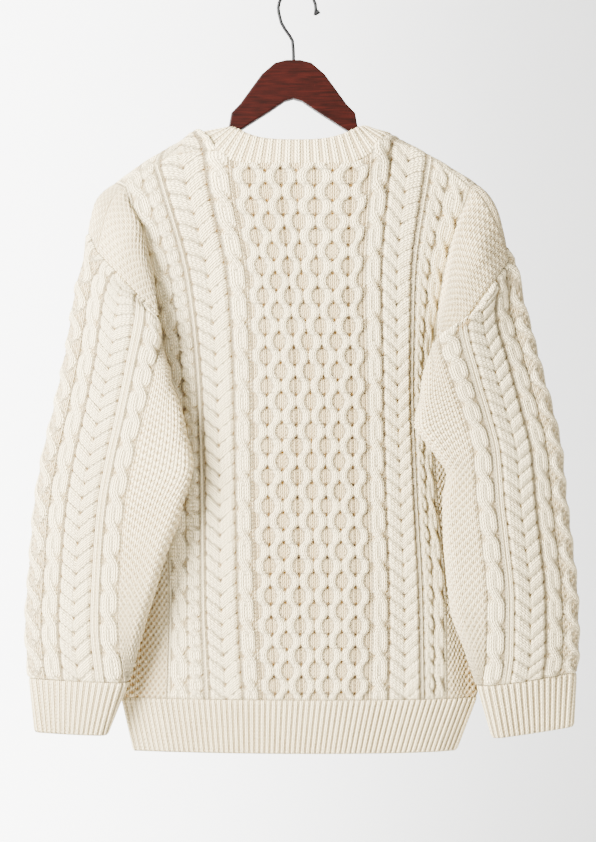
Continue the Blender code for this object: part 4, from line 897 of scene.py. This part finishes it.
# Lays a grid of points in a mesh under construction, with its stitch marks
def layGrid(bm, points, marks=None):
    rows, cols = points.shape[:2]
    bmesh.ops.create_grid(bm, x_segments=cols - 1, y_segments=rows - 1, size=1.0)
    bm.verts.ensure_lookup_table()
    bm.faces.ensure_lookup_table()
    verts = list(bm.verts)[-rows * cols:]
    faces = list(bm.faces)[-(rows - 1) * (cols - 1):]
    for vert, place in zip(verts, points.reshape(-1, 3) * mm):
        vert.co = place
    hollowShade = bm.verts.layers.float["hollowShade"]
    layer = bm.loops.layers.uv["stitches"]
    if marks is None:
        # the inner face gets an even painted shade
        for vert in verts:
            vert[hollowShade] = 0.7
        for face in faces:
            for loop in face.loops:
                loop[layer].uv = (loop.vert.co.x / 0.0039, loop.vert.co.z / 0.004)
        return verts
    place = {}
    for vert, depth, u, v in zip(verts, marks[0].ravel(), marks[1].ravel(), marks[2].ravel()):
        vert[hollowShade] = depth
        place[vert] = (u, v)
    for face in faces:
        for loop in face.loops:
            loop[layer].uv = place[loop.vert]
    return verts


# Closes a grid into a tube along its first and last columns
def closeSeam(bm, verts, cols):
    seam = verts[::cols] + verts[cols - 1::cols]
    bmesh.ops.remove_doubles(bm, verts=seam, dist=1e-7)


# A knitted wall: a fine outer grid with the stitches, and a plain inner grid a wall behind
def knitPiece(name, points, normals, field, tube, replaced, step=4):
    high, hollowShade, u, v = field
    outer = points + normals * high[:, :, None]
    inner = points - normals * knit["wall"]
    rows = sorted(set(range(0, points.shape[0], step)) | {points.shape[0] - 1})
    cols = sorted(set(range(0, points.shape[1], step)) | {points.shape[1] - 1})
    bm = bmesh.new()
    bm.verts.layers.float.new("hollowShade")
    bm.loops.layers.uv.new("stitches")
    front = layGrid(bm, outer, (hollowShade, u, v))
    behind = layGrid(bm, inner[np.ix_(rows, cols)])
    if tube:
        closeSeam(bm, front, points.shape[1])
        closeSeam(bm, behind, len(cols))
        middle = (points[0].mean(axis=0)[2] + points[-1].mean(axis=0)[2]) / 2 * mm
        ends = [[], []]
        for loop in boundaryLoops([e for e in bm.edges if e.is_boundary]):
            z = sum(e.verts[0].co.z for e in loop) / len(loop)
            ends[0 if z > middle else 1].extend(loop)
        for edges in ends:
            bmesh.ops.bridge_loops(bm, edges=edges)
    else:
        bmesh.ops.bridge_loops(bm, edges=[e for e in bm.edges if e.is_boundary])
    return finishPiece(name, bm, woolPlain, replaced)


def boundaryLoops(edges):
    left = set(edges)
    loops = []
    while left:
        loop = [left.pop()]
        reach = set(loop[0].verts)
        grown = True
        while grown:
            grown = False
            for vert in list(reach):
                for edge in vert.link_edges:
                    if edge in left:
                        left.discard(edge)
                        loop.append(edge)
                        reach.update(edge.verts)
                        grown = True
                reach.discard(vert)
        loops.append(loop)
    return loops


def finishPiece(name, bm, material, replaced):
    bmesh.ops.recalc_face_normals(bm, faces=bm.faces)
    if bm.calc_volume(signed=True) < 0:
        bmesh.ops.reverse_faces(bm, faces=bm.faces)
    mesh = bpy.data.meshes.new(name)
    bm.to_mesh(mesh)
    triangles = sum(len(face.verts) - 2 for face in bm.faces)
    openEdges = sum(1 for edge in bm.edges if not edge.is_manifold)
    bm.free()
    mesh.shade_smooth()
    piece = bpy.data.objects.new(name, mesh)
    bpy.context.scene.collection.objects.link(piece)
    mesh.materials.append(material)
    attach(piece, "root")
    if replaced:
        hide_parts(*replaced)
    print(f"  {name}: {triangles} triangles, {openEdges} open edges")
    return piece


# How much of the relief is left near the ends of a row of distances
def nearEnds(distance, reach=3.0):
    return np.clip(np.minimum(distance, distance[-1] - distance) / reach, 0, 1)


def multipleOf(count, step=4):
    return int(math.ceil(count / step)) * step + 1


grid = backGrid()
leftGrid = frontGrid(-1, grid)
rightGrid = frontGrid(1, grid)
holesLeft = armhole(-1, leftSleeve, grid, leftGrid)
holesRight = armhole(1, rightSleeve, grid, rightGrid)

rowSize = cableRepeat / 4
bodyHeight = backRows * rowSize


# The back carries the honeycomb, and its folded sides a painted tan shade
def buildBack():
    rows = np.linspace(0, backRows, multipleOf(bodyHeight / knit["spacing"]))
    wales = np.linspace(-halfPanel, halfPanel, multipleOf(2 * halfPanel / knit["spacing"]))
    points = backSurface(wales, rows)
    normals = gridNormals(points, False)
    heights = rows * rowSize
    high, hollowShade, u, v = knitField(wales[None, :], heights[:, None], bodyColumns)
    high = high * nearEnds(heights)[:, None] * nearEnds(wales - wales[0])[None, :]
    # painted shade: the folded sides below the underarm get extra tan in the colour, for the light
    # that comes back tinted from the cloth around them
    turned = np.clip((np.abs(wales) - 160) / 40, 0, 1)[None, :]
    turned = turned * np.clip((40 - rows) / 12, 0, 1)[:, None]
    hollowShade = np.clip(hollowShade + 0.3 * turned, 0, 1)
    piece = knitPiece("back_knit", points, normals, (high, hollowShade, u, v), False, ["back"])


def buildFront(side, name, node):
    rows = np.linspace(0, backRows, multipleOf(bodyHeight / 2.2))
    wales = np.linspace(15, halfPanel, multipleOf((halfPanel - 15) / 2.0))
    points = frontSurface(wales, rows, side)
    normals = gridNormals(points, side > 0)
    heights = rows * rowSize
    high, hollowShade, u, v = knitField(-side * wales[None, :], heights[:, None], bodyColumns)
    high = high * nearEnds(heights, 6)[:, None] * nearEnds(wales - wales[0], 5)[None, :]
    high = high * np.clip((70 - rows) / 5, 0.25, 1)[:, None]
    piece = knitPiece(name, points, normals, (high, hollowShade, u, v), False, [node])


def buildSleeve(side, name, node, table, holes):
    edge = sleeveWales[-1]
    half = np.concatenate([np.linspace(0, edge, 66)[:-1], edge + np.linspace(0, 1, 28)])
    alongs = np.linspace(0, 1, multipleOf(sleeveLength / knit["spacing"]))
    points = sleeveSurface(table, holes, alongs, (half, half))
    points = np.concatenate([points, points[:, :1]], axis=1)
    normals = tubeNormals(points[:, :-1], side < 0)
    normals = np.concatenate([normals, normals[:, :1]], axis=1)
    real = np.where(half <= edge, half, edge + (half - edge) * 56)
    s = np.concatenate([-side * real, side * real[-2:0:-1], -side * real[:1]])
    heights = alongs * sleeveLength
    high, hollowShade, u, v = knitField(s[None, :], -heights[:, None], sleeveColumns)
    high = high * nearEnds(heights)[:, None]
    piece = knitPiece(name, points, normals, (high, hollowShade, u, v), True, [node])
    return points[-1, :-1]    # the line where the cuff starts


# A ribbed piece between an upper and a lower line of points
def buildRibbing(name, node, top, low, count, tube):
    cols = count * 6 + 1
    if tube:
        upper = np.concatenate([spread(top, cols - 1, True), top[:1]])
        lower = np.concatenate([spread(low, cols - 1, True), low[:1]])
    else:
        upper = spread(top, cols - 1, False)
        lower = spread(low, cols - 1, False)
    deep = float(np.linalg.norm(upper - lower, axis=1).mean())
    shares = np.linspace(0, 1, multipleOf(deep / 3.0))
    points = upper[None] + (lower - upper)[None] * shares[:, None, None]
    around = np.gradient(points, axis=1)
    if tube:
        ends = (points[:, 1] - points[:, -2]) / 2
        around[:, 0] = ends
        around[:, -1] = ends
    normals = unit(np.cross(around, np.gradient(points, axis=0)))
    centre = points.mean(axis=(0, 1))
    outward = np.sum(normals * (points - centre), axis=2)
    if outward.sum() < 0:
        normals = -normals
    down = shares * deep
    ribs = np.linspace(0, count, cols)
    field = ribField(np.broadcast_to(ribs[None, :], points.shape[:2]),
                     np.broadcast_to(down[:, None], points.shape[:2]))
    high = field[0] * np.clip(np.minimum(down + 1.5, down[-1] - down + 0.8) / 2.5, 0, 1)[:, None]
    if not tube:
        high = high * nearEnds(np.linspace(0, cols, cols), 4)[None, :]
    piece = knitPiece(name, points, normals, (high, *field[1:]), tube, [node],
                      step=3 if tube else 6)
    return piece


buildBack()
buildFront(-1, "front_left_knit", "front_left")
buildFront(1, "front_right_knit", "front_right")
endLeft = buildSleeve(-1, "sleeve_left_knit", "sleeve_left", leftSleeve, holesLeft)
endRight = buildSleeve(1, "sleeve_right_knit", "sleeve_right", rightSleeve, holesRight)
print("stage 3: knitted panels made")


def buildHems():
    line = grid["points"][0]
    buildRibbing("hem_back_rib", "hem_back", line, hemEnd(line, 0.0, line[[0, -1], 0]), 68,
                 False)
    for side, front, name in ((-1, leftGrid, "hem_front_left"), (1, rightGrid, "hem_front_right")):
        line = front["points"][0]
        buildRibbing(name + "_rib", name, line, hemEnd(line, line[0, 0], line[-1:, 0]), 30, False)


def buildCuff(name, node, top, end):
    outerX, outerZ, innerX, innerZ = end
    loop, length, _ = ring(outerX, innerX, (-9, -14, -17), (9.5, 10.5, 9.5))
    at = np.linspace(0, length[-1], 240, endpoint=False)
    x = np.interp((at + sleeveTwist) % length[-1], length, loop[:, 0])
    y = np.interp((at + sleeveTwist) % length[-1], length, loop[:, 1])
    z = outerZ + (innerZ - outerZ) * (x - outerX) / (innerX - outerX)
    low = np.stack([x, y, z], axis=1)
    buildRibbing(name, node, top, low, 36, True)


def buildNeckband():
    inner = [k for k, w in enumerate(grid["wales"]) if abs(w) < neckWale]
    count = leftGrid["neckCount"]
    points = np.concatenate([leftGrid["top"][:count], grid["points"][-1, inner],
                             rightGrid["top"][:count][::-1]])
    top = neckbandTop(points)
    length = runningLength(points)
    # even spacing along the neckline, the same on both of its edges
    at = np.linspace(0, length[-1], 50 * 6 + 1)
    lines = [np.stack([np.interp(at, length, line[:, k]) for k in range(3)], axis=1)
             for line in (points, top)]
    # the free edge runs in one easy curve, without the corners of the seam below it
    reach = 30
    soft = np.pad(lines[1], ((reach, reach), (0, 0)), mode="edge")
    soft = np.array([soft[k:k + 2 * reach + 1].mean(axis=0) for k in range(len(at))])
    keep = nearEnds(at, 60)[:, None]
    lines[1] = lines[1] + (soft - lines[1]) * keep
    shares = np.linspace(-0.06, 1, 13)
    sheet = lines[0][None] + (lines[1] - lines[0])[None] * shares[:, None, None]
    normals = unit(np.cross(np.gradient(sheet, axis=1), np.gradient(sheet, axis=0)))
    down = shares * neckbandHeight
    field = ribField(np.broadcast_to(np.linspace(0, 50, len(at))[None, :], sheet.shape[:2]),
                     np.broadcast_to(down[:, None], sheet.shape[:2]))
    high = field[0] * np.clip(np.minimum(down + 1.0, down[-1] - down + 0.8) / 2.0, 0, 1)[:, None]
    piece = knitPiece("neckband_rib", sheet, normals, (high, *field[1:]), False, ["neckband"],
                      step=3)


def buildBand(name, node, lift):
    z = np.linspace(bandLevels[0], bandLevels[-1], multipleOf(585 / 4))
    across = np.linspace(-1, 1, 33)
    half = bandWidth / 2 - 0.15
    points = np.empty((len(z), len(across), 3))
    points[:, :, 0] = bandCentre(z)[:, None] + half * across[None, :]
    points[:, :, 1] = (bandDepth(z) + lift)[:, None]
    points[:, :, 2] = z[:, None]
    normals = np.zeros(points.shape)
    normals[:, :, 1] = 1.0
    field = ribField(np.broadcast_to(((across + 1) * 2.5)[None, :] + 0.17, points.shape[:2]),
                     np.broadcast_to(z[:, None], points.shape[:2]))
    high = field[0] * 0.55 * nearEnds(z - z[0], 6)[:, None]
    piece = knitPiece(name, points, normals, (high * 0.8, *field[1:]), False, [node])


buildHems()
buildCuff("cuff_left_rib", "cuff_left", endLeft, leftCuffEnd)
buildCuff("cuff_right_rib", "cuff_right", endRight, rightCuffEnd)
buildNeckband()
buildBand("button_band_rib", "button_band", 0.0)
buildBand("buttonhole_band_rib", "buttonhole_band", bandStep)
print("stage 4: ribbing and bands made")


def buttonCentre(number):
    low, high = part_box(f"button_{number}")
    return Vector([(a + b) / 2 for a, b in zip(low, high)])


# A leather button: a domed rim round a dish
def buildButton(number, material):
    centre = buttonCentre(number)
    bm = bmesh.new()
    profile = [(0, -2.0), (8.6, -2.0), (10.2, -1.0), (10.2, 0.2), (9.4, 1.4), (8.2, 1.95),
               (7.0, 1.5), (6.0, 0.7), (4.0, 0.35), (0, 0.3)]
    verts = [bm.verts.new((x * mm, y * mm, 0)) for x, y in profile]
    edges = [bm.edges.new(pair) for pair in zip(verts, verts[1:])]
    bmesh.ops.spin(bm, geom=verts + edges, cent=(0, 0, 0), axis=(0, 1, 0), angle=2 * math.pi,
                   steps=40, use_merge=True)
    bmesh.ops.remove_doubles(bm, verts=bm.verts, dist=1e-6)
    for vert in bm.verts:
        vert.co += centre
    finishPiece(f"button_{number}_leather", bm, material,
                [f"button_{number}"])


# Thread crossed over the middle of a button
def buildThread(number):
    centre = buttonCentre(number)
    bm = bmesh.new()
    bm.verts.layers.float.new("hollowShade")
    bm.loops.layers.uv.new("stitches")
    for turn in (45, 135):
        made = bmesh.ops.create_uvsphere(bm, u_segments=12, v_segments=8, radius=1.0)["verts"]
        angle = math.radians(turn)
        for vert in made:
            x, y, z = vert.co.x * 3.4 * mm, vert.co.y * 0.5 * mm, vert.co.z * 0.6 * mm
            vert.co = centre + Vector((x * math.cos(angle) - z * math.sin(angle), 0.6 * mm + y,
                                       x * math.sin(angle) + z * math.cos(angle)))
    finishPiece(f"button_{number}_thread", bm, woolPlain, [])


leather = buttonMaterial()
for number in range(1, buttons["count"] + 1):
    buildButton(number, leather)
    buildThread(number)
print("stage 5: buttons made")

for node, material in (("hanger_wood", woodMaterial()), ("hanger_hook", wireMaterial())):
    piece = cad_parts[node]
    for place in piece.material_slots:
        place.material = material
print("stage 6: hanger finished")


room = {
    "wall": "#dadad9", "floor": "#efeeec", "wallY": 3.2, "floorZ": -1.8,
    "key": 730.0, "fill": 30.0, "sky": 1.1,
    # strength and edges of the wall's painted glow
    "glow": (8.5, 0.1), "glowEdge": (-1.2, 0.9),
}


def roomMaterial(name, code):
    material, tree, shader = newMaterial(name)
    coords = addNode(tree, "ShaderNodeTexCoord").outputs["Object"]
    speck = addNode(tree, "ShaderNodeTexNoise", {"Scale": 3.0, "Detail": 2.0}, {0: coords})
    ramp = addNode(tree, "ShaderNodeValToRGB", None, {0: speck.outputs[0]})
    for element, factor in zip(ramp.color_ramp.elements, (0.985, 1.0)):
        element.color = tuple([c * factor for c in linear(code)[:3]] + [1.0])
    tree.links.new(ramp.outputs[0], shader.inputs["Base Color"])
    shader.inputs["Roughness"].default_value = 0.9
    if name.endswith("wall"):
        # painted light: the wall glows, brightest at the left and fading to the right, standing in
        # for a window's light
        split = addNode(tree, "ShaderNodeSeparateXYZ", None, {0: coords}).outputs[0]
        near, far = room["glowEdge"]
        fall = addNode(tree, "ShaderNodeMapRange", {1: near, 2: far, 3: room["glow"][0],
                       4: room["glow"][1], "interpolation_type": "SMOOTHSTEP"}, {0: split})
        tree.links.new(fall.outputs[0], shader.inputs["Emission Strength"])
        shader.inputs["Emission Color"].default_value = linear(code)
    return material


def buildRoom():
    for name, code, corner, turned in (("floor", room["floor"], (0, 0, room["floorZ"]), 0),
                                       ("wall", room["wall"], (0, room["wallY"], 1.5), 90)):
        bm = bmesh.new()
        bmesh.ops.create_grid(bm, x_segments=2, y_segments=2, size=6.0)
        mesh = bpy.data.meshes.new(name)
        bm.to_mesh(mesh)
        bm.free()
        plane = bpy.data.objects.new(name, mesh)
        bpy.context.scene.collection.objects.link(plane)
        plane.location = corner
        plane.rotation_euler = (math.radians(turned), 0, 0)
        mesh.materials.append(roomMaterial("matt " + name, code))


def addLight(name, place, power, size, target=(0, 0, -0.45)):
    light = bpy.data.lights.new(name, "AREA")
    light.energy = power
    light.size = size
    lamp = bpy.data.objects.new(name, light)
    lamp.location = place
    lamp.rotation_euler = (Vector(target) - Vector(place)).to_track_quat("-Z", "Y").to_euler()
    bpy.context.scene.collection.objects.link(lamp)


buildRoom()
addLight("key", (-1.9, -1.6, 0.5), room["key"], 1.2)
addLight("fill", (2.2, -1.8, -0.2), room["fill"], 2.0)
addLight("behind", (0.6, 2.0, 0.8), room["fill"], 2.0)
world = bpy.data.worlds.new("studio")
world.use_nodes = True
world.node_tree.nodes["Background"].inputs[0].default_value = linear("#f6f5f3")
world.node_tree.nodes["Background"].inputs[1].default_value = room["sky"]
bpy.context.scene.world = world

view = {"distance": 2.0, "across": 0.001, "height": -0.4515, "lens": 81.4}
camera = bpy.data.cameras.new("camera")
camera.lens = view["lens"]
camera.sensor_width = 36.0
cameraObject = bpy.data.objects.new("camera", camera)
cameraObject.location = (view["across"], -view["distance"], view["height"])
cameraObject.rotation_euler = (math.radians(90), 0, 0)
bpy.context.scene.collection.objects.link(cameraObject)
bpy.context.scene.camera = cameraObject
print("stage 7: room, light and camera set")
